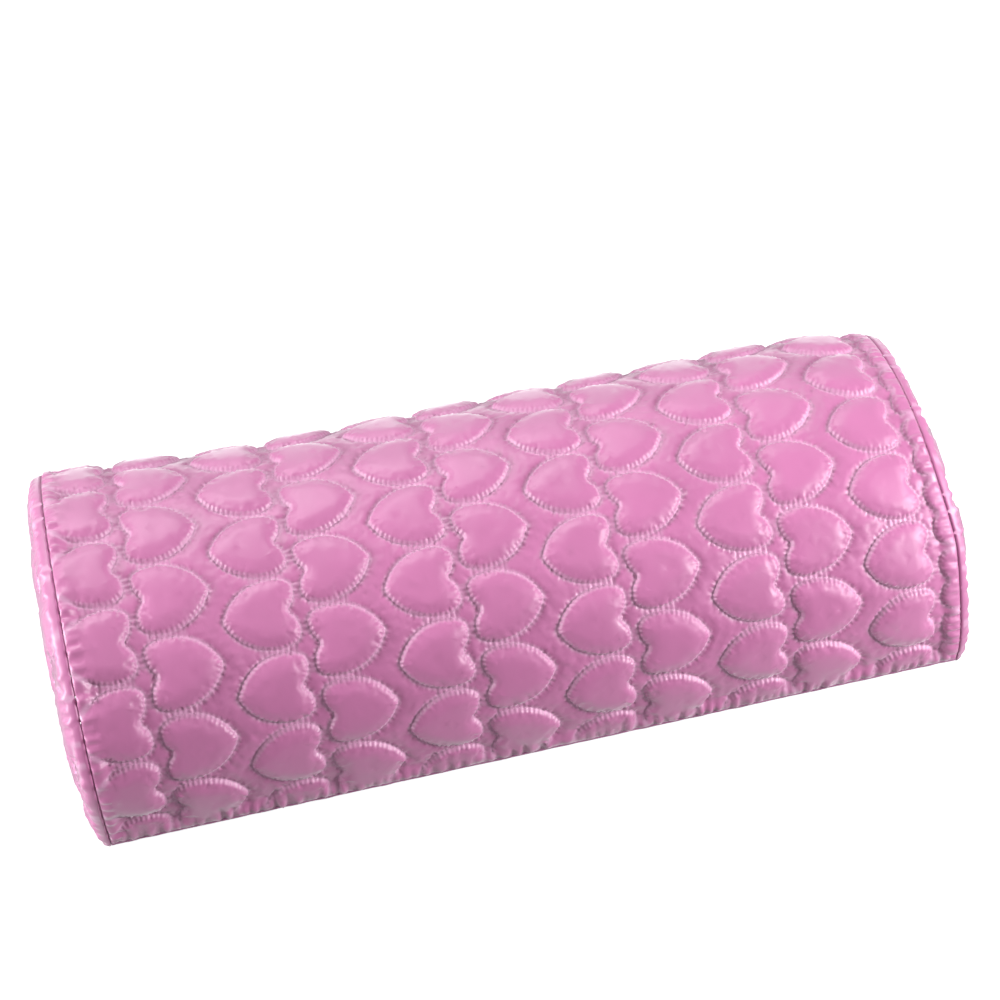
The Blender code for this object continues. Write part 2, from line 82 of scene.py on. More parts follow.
class Body(Enum):
    """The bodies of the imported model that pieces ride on."""

    CUSHION = "cushion"
    SLIDER = "zip_slider"
    PULL = "zip_pull"


class Slot(Enum):
    """The record's material slots."""

    SATIN = "quilted_satin"
    BASE = "base_cloth"
    FOAM = "foam"
    TAPE = "zip_tape"
    COIL = "zip_coil"
    METAL = "zip_metal"


# Shader maths


class Value:
    """A shader socket that Python's operators work on by adding Math nodes."""

    def __init__(self, graph: "Graph", socket: bpy.types.NodeSocket) -> None:
        """Wrap a socket of a graph's node."""
        self.graph = graph
        self.socket = socket

    def math(self, operation: str, *operands: Any) -> "Value":
        """Add one Math node on this value."""
        return self.graph.node("ShaderNodeMath", {"operation": operation}, dict(enumerate([self, *operands])))

    def __add__(self, other: Any) -> "Value":
        """Sum."""
        return self.math("ADD", other)

    def __mul__(self, other: Any) -> "Value":
        """Product."""
        return self.math("MULTIPLY", other)

    def cosine(self) -> "Value":
        """Cosine."""
        return self.math("COSINE")

    def fade(self, low: float, high: float, start: float = 0.0, end: float = 1.0) -> "Value":
        """Smooth step from start, at low, to end, at high."""
        return self.graph.node(
            "ShaderNodeMapRange",
            {"interpolation_type": "SMOOTHSTEP"},
            {"Value": self, "From Min": low, "From Max": high, "To Min": start, "To Max": end},
        )

    def output(self, name: str) -> "Value":
        """Another output of the same node."""
        return Value(self.graph, self.socket.node.outputs[name])


class Graph:
    """The new node tree of a material or a world."""

    def __init__(self, owner: bpy.types.Material | bpy.types.World) -> None:
        """Empty the owner's tree."""
        owner.use_nodes = True
        self.owner = owner
        self.tree = owner.node_tree
        self.tree.nodes.clear()

    @classmethod
    def material(cls, name: str) -> "Graph":
        """The tree of a new material."""
        return cls(bpy.data.materials.new(name))

    def node(
        self,
        kind: str,
        settings: dict[str, Any] | None = None,
        sockets: dict[int | str, Any] | None = None,
        output: int | str = 0,
    ) -> Value:
        """Add a node.

        Args:
            kind: Blender's type name of the node.
            settings: Properties that are set before the sockets.
            sockets: Numbers, colours or links for its inputs.
            output: The output that the returned value stands for.

        Returns:
            The value of that output.
        """
        made = self.tree.nodes.new(kind)
        for key, setting in (settings or {}).items():
            setattr(made, key, setting)
        for key, given in (sockets or {}).items():
            self._feed(made.inputs[key], given)
        return Value(self, made.outputs[output] if made.outputs else None)

    def _feed(self, socket: bpy.types.NodeSocket, given: Any) -> None:
        """Link a value to an input, or set the input to a constant."""
        if isinstance(given, Value):
            self.tree.links.new(given.socket, socket)
        else:
            socket.default_value = given

    def mix(self, share: Any, first: Sequence[float] | Value, second: Sequence[float]) -> Value:
        """Mix two colours."""
        made = self.tree.nodes.new("ShaderNodeMix")
        made.data_type = "RGBA"
        for socket, given in ((made.inputs[0], share), (made.inputs[6], first), (made.inputs[7], second)):
            self._feed(socket, given)
        return Value(self, made.outputs[2])

    def shades(self, share: Any, colour: Sequence[float], dark: float) -> Value:
        """Mix a colour with a darker one."""
        return self.mix(share, rgba([dark * part for part in colour]), rgba(colour))

    def cloth(self) -> Value:
        """The fabric's own coordinates in metres."""
        return self.node("ShaderNodeUVMap", {"uv_map": CLOTH_UV})

    def scaled(self, point: Value, scale: tuple[float, float, float]) -> Value:
        """Coordinates times a scale."""
        return self.node("ShaderNodeMapping", {}, {"Vector": point, "Scale": scale})

    def object_point(self, scale: float) -> Value:
        """The object's coordinates in metres, scaled."""
        return self.scaled(self.node("ShaderNodeTexCoord", output="Object"), (scale, scale, scale))

    def noise(self, point: Value, detail: float = 2.0, roughness: float = 0.5) -> Value:
        """Noise of one cycle to a unit of the scaled point."""
        sockets = {"Vector": point, "Scale": 1.0, "Detail": detail, "Roughness": roughness}
        return self.node("ShaderNodeTexNoise", {}, sockets)

    def cloth_noise(self, along: float, across: float, detail: float) -> Value:
        """Noise with so many cycles to a metre of the fabric."""
        return self.noise(self.scaled(self.cloth(), (along, across, 1)), detail)

    def attribute(self, name: str) -> Value:
        """A number stored on the mesh."""
        return self.node("ShaderNodeAttribute", {"attribute_name": name}, output="Fac")

    def bump(self, height: Value, distance: float, strength: float) -> Value:
        """A bump of a height in units of distance."""
        return self.node("ShaderNodeBump", {}, {"Height": height, "Distance": distance, "Strength": strength})

    def seen_directly(self) -> Value:
        """1 on rays from the camera, a mirror or a glass, and 0 on the others."""
        path = self.node("ShaderNodeLightPath", output="Is Camera Ray")
        seen = path.math("MAXIMUM", path.output("Is Glossy Ray"))
        return seen.math("MAXIMUM", path.output("Is Transmission Ray"))

    def principled(self, **sockets: Any) -> bpy.types.Material:
        """Finish the material with a Principled shader.

        Args:
            sockets: Its inputs, with underscores for the spaces in their names.

        Returns:
            The material.
        """
        named = {key.replace("_", " "): given for key, given in sockets.items()}
        return self.close(self.node("ShaderNodeBsdfPrincipled", {}, named))

    def close(self, shader: Value, output: str = "ShaderNodeOutputMaterial") -> Any:
        """Finish the material or world with a shader."""
        self.node(output, {}, {"Surface": shader})
        return self.owner


def rgba(colour: Sequence[float]) -> tuple[float, ...]:
    """A linear colour with full alpha."""
    return (*colour, 1.0)


# Finishes


@dataclass(frozen=True)
class QuiltedSatin:
    """Soft polyester satin, quilted over wadding, with a painted highlight that makes it paler along the
    stitches.
    """

    colour: tuple[float, float, float] = (0.66, 0.185, 0.43)
    # Colour of the painted highlight along the stitches.
    rim_highlight: tuple[float, float, float] = (0.86, 0.50, 0.72)

    def build(self) -> bpy.types.Material:
        """Make the material."""
        graph = Graph.material("quilted_satin")
        floats = graph.cloth_noise(700, 3000, 1.0)
        slubs = graph.cloth_noise(120, 1400, 2.0)
        mottle = graph.cloth_noise(38, 38, 3.0)
        # Painted highlight: the colour turns paler within 1.5 mm of every stitch line.
        highlight_share = graph.attribute(STITCH_ATTRIBUTE).fade(0.15, 1.5, 0.56, 0.0)
        dyed = graph.shades(mottle.fade(0.3, 0.7), self.colour, 0.93)
        return graph.principled(
            Base_Color=graph.mix(highlight_share, dyed, rgba(self.rim_highlight)),
            Roughness=mottle.fade(0.25, 0.75, 0.4, 0.51),
            Normal=graph.bump(floats * 0.6 + slubs * 0.4, 0.00007, 0.4),
            Sheen_Weight=1.0,
            Sheen_Roughness=0.4,
            Sheen_Tint=(1.0, 0.96, 0.99, 1.0),
            Specular_IOR_Level=0.95,
        )


@dataclass(frozen=True)
class PlainSatin:
    """The same satin, sewn without wadding as the base of the cover."""

    colour: tuple[float, float, float] = (0.66, 0.24, 0.48)

    def build(self) -> bpy.types.Material:
        """Make the material."""
        graph = Graph.material("base_satin")
        mottle = graph.cloth_noise(45, 45, 3.0)
        return graph.principled(
            Base_Color=graph.shades(mottle.fade(0.3, 0.7), self.colour, 0.9),
            Roughness=mottle.fade(0.25, 0.75, 0.42, 0.52),
            Normal=graph.bump(graph.cloth_noise(900, 3200, 1.0), 0.00006, 0.4),
            Sheen_Weight=0.3,
            Sheen_Roughness=0.4,
            Sheen_Tint=(1.0, 0.86, 0.95, 1.0),
        )


@dataclass(frozen=True)
class FoamCells:
    """Open-cell foam."""

    dark: tuple[float, ...] = (0.82, 0.78, 0.66, 1)
    pale: tuple[float, ...] = (0.9, 0.87, 0.78, 1)

    def build(self) -> bpy.types.Material:
        """Make the material."""
        graph = Graph.material("foam_cells")
        cells = graph.node("ShaderNodeTexVoronoi", {}, {"Vector": graph.object_point(1400), "Scale": 1.0})
        colour = graph.mix(graph.noise(graph.object_point(60), 3.0), self.dark, self.pale)
        return graph.principled(Base_Color=colour, Roughness=0.95, Normal=graph.bump(cells, 0.0004, 0.8))


@dataclass(frozen=True)
class WovenTape:
    """The herringbone tape of a coil zip."""

    colour: tuple[float, float, float] = (0.60, 0.20, 0.42)

    def build(self) -> bpy.types.Material:
        """Make the material."""
        graph = Graph.material("zip_tape_weave")
        parts = graph.node("ShaderNodeSeparateXYZ", {}, {0: graph.cloth()})
        across = parts.output("Y")
        ribs = ((parts + (across * 700.0).cosine() * 0.0004) * 9000.0).cosine()
        height = ribs * 0.6 + (across * 12000.0).cosine() * 0.4
        return graph.principled(
            # Painted shade: the tape's colour is darker where the weave's relief is low.
            Base_Color=graph.shades(height.fade(-1.0, 1.0), self.colour, 0.82),
            Roughness=0.72,
            Sheen_Weight=0.25,
            Normal=graph.bump(height, 0.00012, 0.6),
        )


@dataclass(frozen=True)
class CoilNylon:
    """Dyed nylon monofilament."""

    dark: tuple[float, ...] = (0.62, 0.22, 0.42, 1)
    pale: tuple[float, ...] = (0.70, 0.28, 0.50, 1)

    def build(self) -> bpy.types.Material:
        """Make the material."""
        graph = Graph.material("coil_nylon")
        tone = graph.noise(graph.object_point(400))
        colour = graph.mix(tone, self.dark, self.pale)
        return graph.principled(Base_Color=colour, Roughness=tone.fade(0.2, 0.8, 0.26, 0.38))


@dataclass(frozen=True)
class PlatedMetal:
    """Nickel-plated zinc with fine tumbling marks."""

    dark: tuple[float, ...] = (0.62, 0.60, 0.59, 1)
    pale: tuple[float, ...] = (0.72, 0.70, 0.69, 1)

    def build(self) -> bpy.types.Material:
        """Make the material."""
        graph = Graph.material("plated_metal")
        marks = graph.noise(graph.object_point(2600), 3.0, 0.7)
        return graph.principled(
            Base_Color=graph.mix(graph.noise(graph.object_point(300)), self.dark, self.pale),
            Metallic=1.0,
            Roughness=marks.fade(0.3, 0.7, 0.2, 0.36),
            Normal=graph.bump(marks, 0.00002, 0.3),
        )


@dataclass(frozen=True)
class SewingThread:
    """Twisted polyester thread."""

    colour: tuple[float, float, float] = (0.85, 0.46, 0.67)

    def build(self) -> bpy.types.Material:
        """Make the material."""
        graph = Graph.material("sewing_thread")
        parts = graph.node("ShaderNodeSeparateXYZ", {}, {0: graph.cloth()})
        twist = ((parts + parts.output("Y")) * 9000.0).cosine()
        return graph.principled(
            # Painted shade: the thread's colour is darker in the grooves of its twist.
            Base_Color=graph.shades(twist.fade(-1.0, 1.0), self.colour, 0.8),
            Roughness=0.5,
            Sheen_Weight=0.3,
            Normal=graph.bump(twist, 0.00004, 0.5),
        )


# Mesh helpers


def new_piece(
    name: str,
    points: np.ndarray,
    faces: Sequence[Sequence[int]],
    uv: np.ndarray | None = None,
    numbers: dict[str, np.ndarray] | None = None,
) -> bpy.types.Object:
    """Make a smooth-shaded object from points and faces.

    Args:
        name: The piece's name.
        points: Its vertices in metres, n by 3.
        faces: Runs of vertex numbers, counter-clockwise from outside.
        uv: The fabric's coordinates of each vertex in metres.
        numbers: Numbers to keep on the vertices, by the attribute's name.

    Returns:
        The object, linked to the scene.
    """
    mesh = bpy.data.meshes.new(name)
    mesh.from_pydata(points.tolist(), [], [list(face) for face in faces])
    for key, values in (numbers or {}).items():
        stored = mesh.attributes.new(key, "FLOAT", "POINT")
        stored.data.foreach_set("value", np.asarray(values, dtype=np.float32))
    if uv is not None:
        corner = np.empty(len(mesh.loops), dtype=np.int64)
        mesh.loops.foreach_get("vertex_index", corner)
        layer = mesh.uv_layers.new(name=CLOTH_UV)
        layer.data.foreach_set("uv", np.asarray(uv, dtype=np.float32)[corner].ravel())
    mesh.shade_smooth()
    piece = bpy.data.objects.new(name, mesh)
    bpy.context.scene.collection.objects.link(piece)
    return piece


def read_points(mesh: bpy.types.Mesh) -> np.ndarray:
    """A mesh's vertices, n by 3."""
    points = np.empty(3 * len(mesh.vertices))
    mesh.vertices.foreach_get("co", points)
    return points.reshape(-1, 3)


def select_only(piece: bpy.types.Object) -> None:
    """Select one object and nothing else."""
    bpy.ops.object.select_all(action="DESELECT")
    piece.select_set(True)
    bpy.context.view_layer.objects.active = piece


def dress(
    piece: bpy.types.Object, material: bpy.types.Material, slot: Slot, body: Body, *nodes: str
) -> bpy.types.Object:
    """Give a piece its material and body, and hide the CAD nodes that it stands for."""
    piece.data.materials.clear()
    piece.data.materials.append(material)
    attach(piece, body.value)
    if nodes:
        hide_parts(*nodes)
    return piece


def copy_node(node: str, name: str) -> bpy.types.Object:
    """Copy a CAD node's mesh into a new object, with its doubles merged."""
    piece = bpy.data.objects.new(name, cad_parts[node].data.copy())
    bpy.context.scene.collection.objects.link(piece)
    select_only(piece)
    bpy.ops.object.mode_set(mode="EDIT")
    bpy.ops.mesh.select_all(action="SELECT")
    bpy.ops.mesh.remove_doubles(threshold=1e-6)
    bpy.ops.mesh.dissolve_limited(angle_limit=math.radians(1))
    bpy.ops.object.mode_set(mode="OBJECT")
    return piece


def soften_edges(piece: bpy.types.Object, width: float) -> None:
    """Round a piece's edges with an applied bevel."""
    select_only(piece)
    bevel = piece.modifiers.new("soft_edges", "BEVEL")
    bevel.width = width
    bevel.segments = 2
    bevel.limit_method = "ANGLE"
    bevel.angle_limit = math.radians(30)
    bpy.ops.object.modifier_apply(modifier=bevel.name)
    bpy.ops.object.shade_smooth_by_angle(angle=math.radians(50))


def index_points(points: np.ndarray) -> KDTree:
    """A tree that finds the nearest of some flat points."""
    tree = KDTree(len(points))
    for k, (u, v) in enumerate(points.tolist()):
        tree.insert((u, v, 0), k)
    tree.balance()
    return tree


def nearest(tree: KDTree, points: np.ndarray) -> np.ndarray:
    """The number of the nearest indexed point to each point."""
    return np.array([tree.find((u, v, 0))[1] for u, v in points.tolist()])


def box(points: np.ndarray) -> tuple[np.ndarray, np.ndarray]:
    """Lowest and highest corner of the box around points."""
    return points.min(axis=0), points.max(axis=0)


def flat_grid(along: np.ndarray, across: np.ndarray) -> np.ndarray:
    """Every pair of two rows of numbers, n by 2."""
    return np.stack(np.meshgrid(along, across, indexing="ij"), axis=-1).reshape(-1, 2)


def lengths(vectors: np.ndarray) -> np.ndarray:
    """Length of each vector along the last axis, which is kept."""
    return np.linalg.norm(vectors, axis=-1, keepdims=True)


def loop_runs(loop: np.ndarray) -> np.ndarray:
    """Length along a closed loop to each of its points, and its whole length as the last."""
    return np.concatenate([[0], np.cumsum(lengths(np.roll(loop, -1, axis=0) - loop))])


def along_loop(loop: np.ndarray, run: np.ndarray, places: np.ndarray) -> np.ndarray:
    """Points of a closed loop at lengths along it."""
    closed = np.concatenate([loop, loop[:1]])
    return np.stack([np.interp(places, run, closed[:, k]) for k in range(2)], axis=-1)


def loop_normals(loop: np.ndarray) -> np.ndarray:
    """Outward normals of a counter-clockwise loop."""
    tangent = np.roll(loop, -1, axis=0) - np.roll(loop, 1, axis=0)
    tangent /= lengths(tangent)
    return np.stack([tangent[:, 1], -tangent[:, 0]], axis=1)


def tube_faces(rings: int, count: int) -> list[list[int]]:
    """Quads between rings of so many points each, with a cap on either end."""
    turn = np.arange(count)
    base = np.arange(rings - 1)[:, None] * count
    first, after = base + turn, base + (turn + 1) % count
    quads = np.stack([first, after, after + count, first + count], axis=-1).reshape(-1, 4)
    last = (rings - 1) * count
    return quads.tolist() + [turn[::-1].tolist(), (last + turn).tolist()]


def triangulate(rim: np.ndarray, rest: np.ndarray, edges: list[tuple[int, int]]) -> tuple:
    """Mesh a flat outline.

    Args:
        rim: The outline's points.
        rest: The points within.
        edges: Lines between points within that the mesh has to follow.

    Returns:
        The points, the faces, and the number of each rim point.
    """
    around = [(k, (k + 1) % len(rim)) for k in range(len(rim))]
    given = [Vector(point) for point in np.concatenate([rim, rest]).tolist()]
    made = delaunay_2d_cdt(given, around + edges, [], 0, 1e-7)
    number = {source: k for k, group in enumerate(made[3]) for source in group if source < len(rim)}
    return np.array([tuple(point) for point in made[0]]), made[2], [number[k] for k in range(len(rim))]


def between(table: np.ndarray, place: np.ndarray, repeats: bool = False) -> np.ndarray:
    """Values of a table between its entries.

    Args:
        table: Values over its first two axes.
        place: Where they are wanted, in steps of those axes.
        repeats: Whether the table repeats itself.

    Returns:
        The values at the places.
    """
    counts = np.array(table.shape[:2])
    place = place % counts if repeats else place.clip(0, counts - 1.001)
    low = place.astype(int)
    share = (place - low).reshape(len(place), 2, *[1] * (table.ndim - 2))
    (i, j), (after_i, after_j) = (low % counts).T, ((low + 1) % counts).T
    a, b = share[:, 0], share[:, 1]
    near = table[i, j] * (1 - a) + table[after_i, j] * a
    far = table[i, after_j] * (1 - a) + table[after_i, after_j] * a
    return near * (1 - b) + far * b


def smooth_step(values: np.ndarray, low: float, high: float) -> np.ndarray:
    """Smooth step from 0 at low to 1 at high."""
    share = ((values - low) / (high - low)).clip(0, 1)
    return share * share * (3 - 2 * share)


class Ripple:
    """Smooth one-dimensional noise, the same on every run."""

    def __init__(self, seed: int, shortest: float, longest: float, count: int = 14) -> None:
        """Draw the waves, with lengths between two in metres."""
        draw = np.random.default_rng(seed)
        self.rate = 2 * math.pi / np.exp(draw.uniform(math.log(shortest), math.log(longest), count))
        self.phase = draw.uniform(0, 2 * math.pi, count)
        self.level = 1 / math.sqrt(count / 2)

    def at(self, run: np.ndarray) -> np.ndarray:
        """Noise of about unit size along a run."""
        return np.sin(run[:, None] * self.rate + self.phase).sum(axis=1) * self.level


class Crumple:
    """A smooth random relief over a panel, the same on every run."""

    SPACING = 0.4 * MM

    def __init__(self, seed: int, low: np.ndarray, high: np.ndarray, size: tuple[float, float]) -> None:
        """Draw creases.

        Args:
            seed: Number that the draw starts from.
            low: Lowest corner of the panel.
            high: Highest corner of the panel.
            size: Length of a crease along the first and the second direction.
        """
        self.low = low
        counts = np.ceil((high - low) / self.SPACING).astype(int) + 2
        draw = np.fft.rfft2(np.random.default_rng(seed).standard_normal(counts))
        along = np.fft.fftfreq(counts[0], self.SPACING)[:, None] * size[0]
        across = np.fft.rfftfreq(counts[1], self.SPACING) * size[1]
        rate = along**2 + across**2
        relief = np.fft.irfft2(draw * rate * np.exp(-rate), s=counts)
        self.relief = relief / relief.std()

    def at(self, points: np.ndarray) -> np.ndarray:
        """The relief at points, of about unit size."""
        return between(self.relief, (points - self.low) / self.SPACING)


def even_loop(corners: Sequence[Sequence[float]], spacing: float, rounding: float) -> np.ndarray:
    """Points at an even spacing round a closed section, with its corners rounded.

    Args:
        corners: The section's corners (y, z), in order.
        spacing: Distance between the points.
        rounding: Size of the rounding.

    Returns:
        The points, counter-clockwise as seen from +X.
    """
    fine = 0.1 * MM
    loop = np.array(corners)
    run = loop_runs(loop)
    dense = along_loop(loop, run, np.linspace(0, run[-1], round(run[-1] / fine), endpoint=False))
    rate = np.fft.fftfreq(len(dense), run[-1] / len(dense))
    weight = np.exp(-2 * (math.pi * rate * rounding) ** 2)[:, None]
    dense = np.real(np.fft.ifft(np.fft.fft(dense, axis=0) * weight, axis=0))
    y, z = dense.T
    if (y * np.roll(z, -1) - z * np.roll(y, -1)).sum() < 0:
        dense = dense[::-1]
    count = max(12, round(run[-1] / spacing))
    return dense[np.arange(count) * len(dense) // count]


def sweep(
    name: str, section: np.ndarray, stations: np.ndarray, rounding: float, relief: np.ndarray | float = 0.0
) -> bpy.types.Object:
    """Sweep a closed section along X into a closed piece.

    Args:
        name: The piece's name.
        section: Points (y, z), counter-clockwise as seen from +X.
        stations: Places along X, rising.
        rounding: Radius of the edges round both ends.
        relief: How far each point of each station stands out, stations by points.

    Returns:
        The object; its fabric coordinates are the place along X and the run round the section.
    """
    near = np.minimum(stations - stations[0], stations[-1] - stations).clip(0, rounding)
    inset = rounding - np.sqrt(rounding**2 - (rounding - near) ** 2)
    out = np.broadcast_to(relief, (len(stations), len(section))) - inset[:, None]
    rings = section + loop_normals(section) * out[..., None]
    x = np.broadcast_to(stations[:, None], out.shape)
    points = np.concatenate([x[..., None], rings], axis=2).reshape(-1, 3)
    run = np.broadcast_to(loop_runs(section)[:-1], out.shape)
    faces = tube_faces(len(stations), len(section))
    return new_piece(name, points, faces, np.column_stack([x.ravel(), run.ravel()]))


def close_stations(half: float, spacing: float, radius: float) -> np.ndarray:
    """Places along X from -half to half, closer together at the rounded ends."""
    turns = np.linspace(0, math.pi / 2, 6)[:-1]
    ends = half - radius + radius * np.sin(turns)
    middle = np.linspace(-half + radius, half - radius, max(2, round(2 * (half - radius) / spacing)))
    return np.concatenate([[-half], -ends[1:][::-1], middle, ends[1:], [half]])


# Form


@dataclass
class Slump:
    """How the filled cover departs from a straight roll towards its ends."""

    left_from: float = -70 * MM
    right_from: float = 112 * MM
    left_swell: float = 0.055
    right_shrink: float = 0.055
    right_draw: float = 2 * MM
    heights: tuple[float, float] = (5 * MM, 35 * MM)
    top: tuple[float, float] = (44 * MM, 62 * MM)

    def bend(self, points: np.ndarray) -> np.ndarray:
        """Move points to where the filled cover holds them."""
        x, z = points[:, 0], points[:, 2]
        left = smooth_step(-x, -self.left_from, HALF_LENGTH)
        right = ((x - self.right_from) / (HALF_LENGTH - self.right_from)).clip(0, 1) ** 2
        bent = points.copy()
        change = self.left_swell * left - self.right_shrink * right
        bent[:, 1:] *= (1 + change * smooth_step(z, *self.heights))[:, None]
        bent[:, 0] -= self.right_draw * right * smooth_step(z, *self.top)
        return bent


@dataclass
class Arch:
    """The half-round section at the level of the stitches, measured by its arc length."""

    half_width: float = 63 * MM
    rise: float = 61 * MM
    power: float = 2.2
    samples: int = 2000

    def __post_init__(self) -> None:
        """Tabulate the section."""
        angle = np.linspace(0, math.pi, self.samples)
        across = np.sign(np.cos(angle)) * np.abs(np.cos(angle)) ** (2 / self.power)
        self.y = -self.half_width * across
        self.z = self.rise * np.sin(angle).clip(0) ** (2 / self.power)
        steps = np.hypot(np.diff(self.y), np.diff(self.z))
        self.arc = np.concatenate([[0], np.cumsum(steps)])
        self.length = float(self.arc[-1])

    def point(self, arc: np.ndarray, height: np.ndarray | float = 0.0) -> np.ndarray:
        """Points (y, z) at arc lengths, raised by a height along the normal."""
        y, z = np.interp(arc, self.arc, self.y), np.interp(arc, self.arc, self.z)
        share = y / self.half_width
        slope_y = np.sign(share) * np.abs(share) ** (self.power - 1) / self.half_width
        slope_z = (z.clip(0) / self.rise) ** (self.power - 1) / self.rise
        size = np.hypot(slope_y, slope_z)
        return np.stack([y + slope_y / size * height, z + slope_z / size * height], axis=-1)

    def place(self, points: np.ndarray, height: np.ndarray) -> np.ndarray:
        """Points of a flat cloth (along X, arc length), laid over the section."""
        return np.column_stack([points[:, 0], self.point(points[:, 1], height)])

    def front_arc(self, height: float) -> float:
        """Arc length at which the front side reaches a height."""
        half = self.samples // 2
        return float(np.interp(height, self.z[:half], self.arc[:half]))

    def rear_arc(self, height: float) -> float:
        """Arc length at which the rear side comes down to a height."""
        return self.length - self.front_arc(height)


@dataclass
class HeartLattice:
    """Hearts in columns that step by half a row, with the puckers along their stitches."""

    first_column: float
    first_row: float
    column_pitch: float = 26.2 * MM
    row_pitch: float = 23.9 * MM
    gap_along: float = 2.4 * MM
    gap_across: float = 1.2 * MM
    along_weights: tuple[float, ...] = (13, -2.4, -1.1, -0.3)
    across_weights: tuple[float, float] = (1.0, -0.03)
    notch: tuple[float, float] = (1.7, 0.18)
    tip: tuple[float, float] = (0.8, 0.2)
    fine: int = 720
    pucker_length: float = 1.7 * MM

    def outline(self) -> np.ndarray:
        """The fine outline about its own middle, from the notch at +u by the tip at -u."""
        turn = np.linspace(0, 2 * math.pi, self.fine, endpoint=False)
        along = sum(weight * np.cos((k + 1) * turn) for k, weight in enumerate(self.along_weights))
        across = self.across_weights[0] * np.sin(turn) + self.across_weights[1] * np.sin(3 * turn)
        for (depth, reach), side in ((self.notch, along > 0), (self.tip, along < 0)):
            along = along - depth * np.exp(-((across / reach) ** 2)) * side
        along -= (along.max() + along.min()) / 2
        along *= (self.column_pitch - self.gap_along) / np.ptp(along)
        across *= (self.row_pitch - self.gap_across) / np.ptp(across)
        uneven = np.stack([along, across], axis=1)
        run = loop_runs(uneven)
        return along_loop(uneven, run, np.linspace(0, run[-1], self.fine, endpoint=False))

    def pucker_waves(self, outline: np.ndarray) -> np.ndarray:
        """Cosine wave along the outline that meets the waves of the hearts around it."""
        run = loop_runs(outline)
        half = self.fine // 2
        marks = [0]
        for side in (1, -1):
            neighbour = np.array([side * self.column_pitch / 2, self.row_pitch / 4])
            marks.append(int(lengths(outline[:half] - neighbour).argmin()))
        marks.append(half)
        spans = np.diff(run[marks])
        turns = np.concatenate([[0], np.cumsum(np.maximum(1, np.round(2 * spans / self.pucker_length)))])
        phase = np.interp(run[: half + 1], run[marks], turns * math.pi)
        return np.cos(np.concatenate([phase, phase[1:-1][::-1]]))

    def cells(self, low: np.ndarray, high: np.ndarray) -> list[tuple[np.ndarray, np.ndarray]]:
        """Middle and facing of each heart that can reach the box between two corners."""
        first = np.array([self.first_column, self.first_row])
        pitch = np.array([self.column_pitch, self.row_pitch])
        start = np.floor((low - first) / pitch).astype(int)
        end = np.ceil((high - first) / pitch).astype(int) + 1
        found = []
        for column in range(start[0], end[0]):
            odd = column % 2
            for row in range(start[1] - 1, end[1]):
                middle = first + pitch * (column, row + (0 if odd else 0.5))
                found.append((middle, np.array([-1.0 if odd else 1.0, 1.0])))
        return found


@dataclass
class PuffTable:
    """How an even pressure swells the fabric between its stitches, over one repeat of the hearts."""

    lattice: HeartLattice
    spacing: float = 0.2 * MM
    rounds: int = 3000

    def __post_init__(self) -> None:
        """Relax a membrane that is held along every stitch."""
        lattice = self.lattice
        self.size = np.array([2 * lattice.column_pitch, lattice.row_pitch])
        counts = np.round(self.size / self.spacing).astype(int)
        u, v = (np.arange(count) * size / count for count, size in zip(counts, self.size))
        grid = flat_grid(u, v)
        origin = np.array([lattice.first_column, lattice.first_row])
        lines = StitchLines(lattice, origin, origin + self.size)
        distance = lines.fields(grid + origin)[0].reshape(counts)
        free = distance > 0.75 * self.spacing
        level = np.zeros(counts)
        load = (self.spacing / MM) ** 2 / 4
        for _ in range(self.rounds):
            around = sum(np.roll(level, step, axis) for axis in (0, 1) for step in (1, -1))
            level = np.where(free, around / 4 + load, 0)
        self.level = level
        self.origin = origin

    def at(self, points: np.ndarray) -> np.ndarray:
        """The swelling at points, in square millimetres."""
        place = (points - self.origin) / self.size * self.level.shape
        return between(self.level, place, repeats=True)


class StitchLines:
    """Every heart's stitches over a panel, for finding the nearest."""

    def __init__(self, lattice: HeartLattice, low: np.ndarray, high: np.ndarray) -> None:
        """Lay the hearts over the box between two corners."""
        self.unit = lattice.outline()
        self.fine = len(self.unit)
        self.cells = lattice.cells(low, high)
        self.unit_normal = loop_normals(self.unit)
        self.waves = lattice.pucker_waves(self.unit)
        self.points = np.concatenate([middle + self.unit * facing for middle, facing in self.cells])
        self.normals = np.concatenate([self.unit_normal * facing for _, facing in self.cells])
        self.tree = index_points(self.points)

    def fields(self, points: np.ndarray) -> tuple[np.ndarray, np.ndarray, np.ndarray, np.ndarray]:
        """Look at the nearest stitch of each point.

        Args:
            points: Points of the flat panel.

        Returns:
            The distance to the stitch, whether the point is inside a heart, the pucker wave
            there and the stitch's outward normal.
        """
        index = nearest(self.tree, points)
        offset = points - self.points[index]
        normal = self.normals[index]
        inside = (offset * normal).sum(axis=1) < 0
        return np.linalg.norm(offset, axis=1), inside, self.waves[index % self.fine], normal


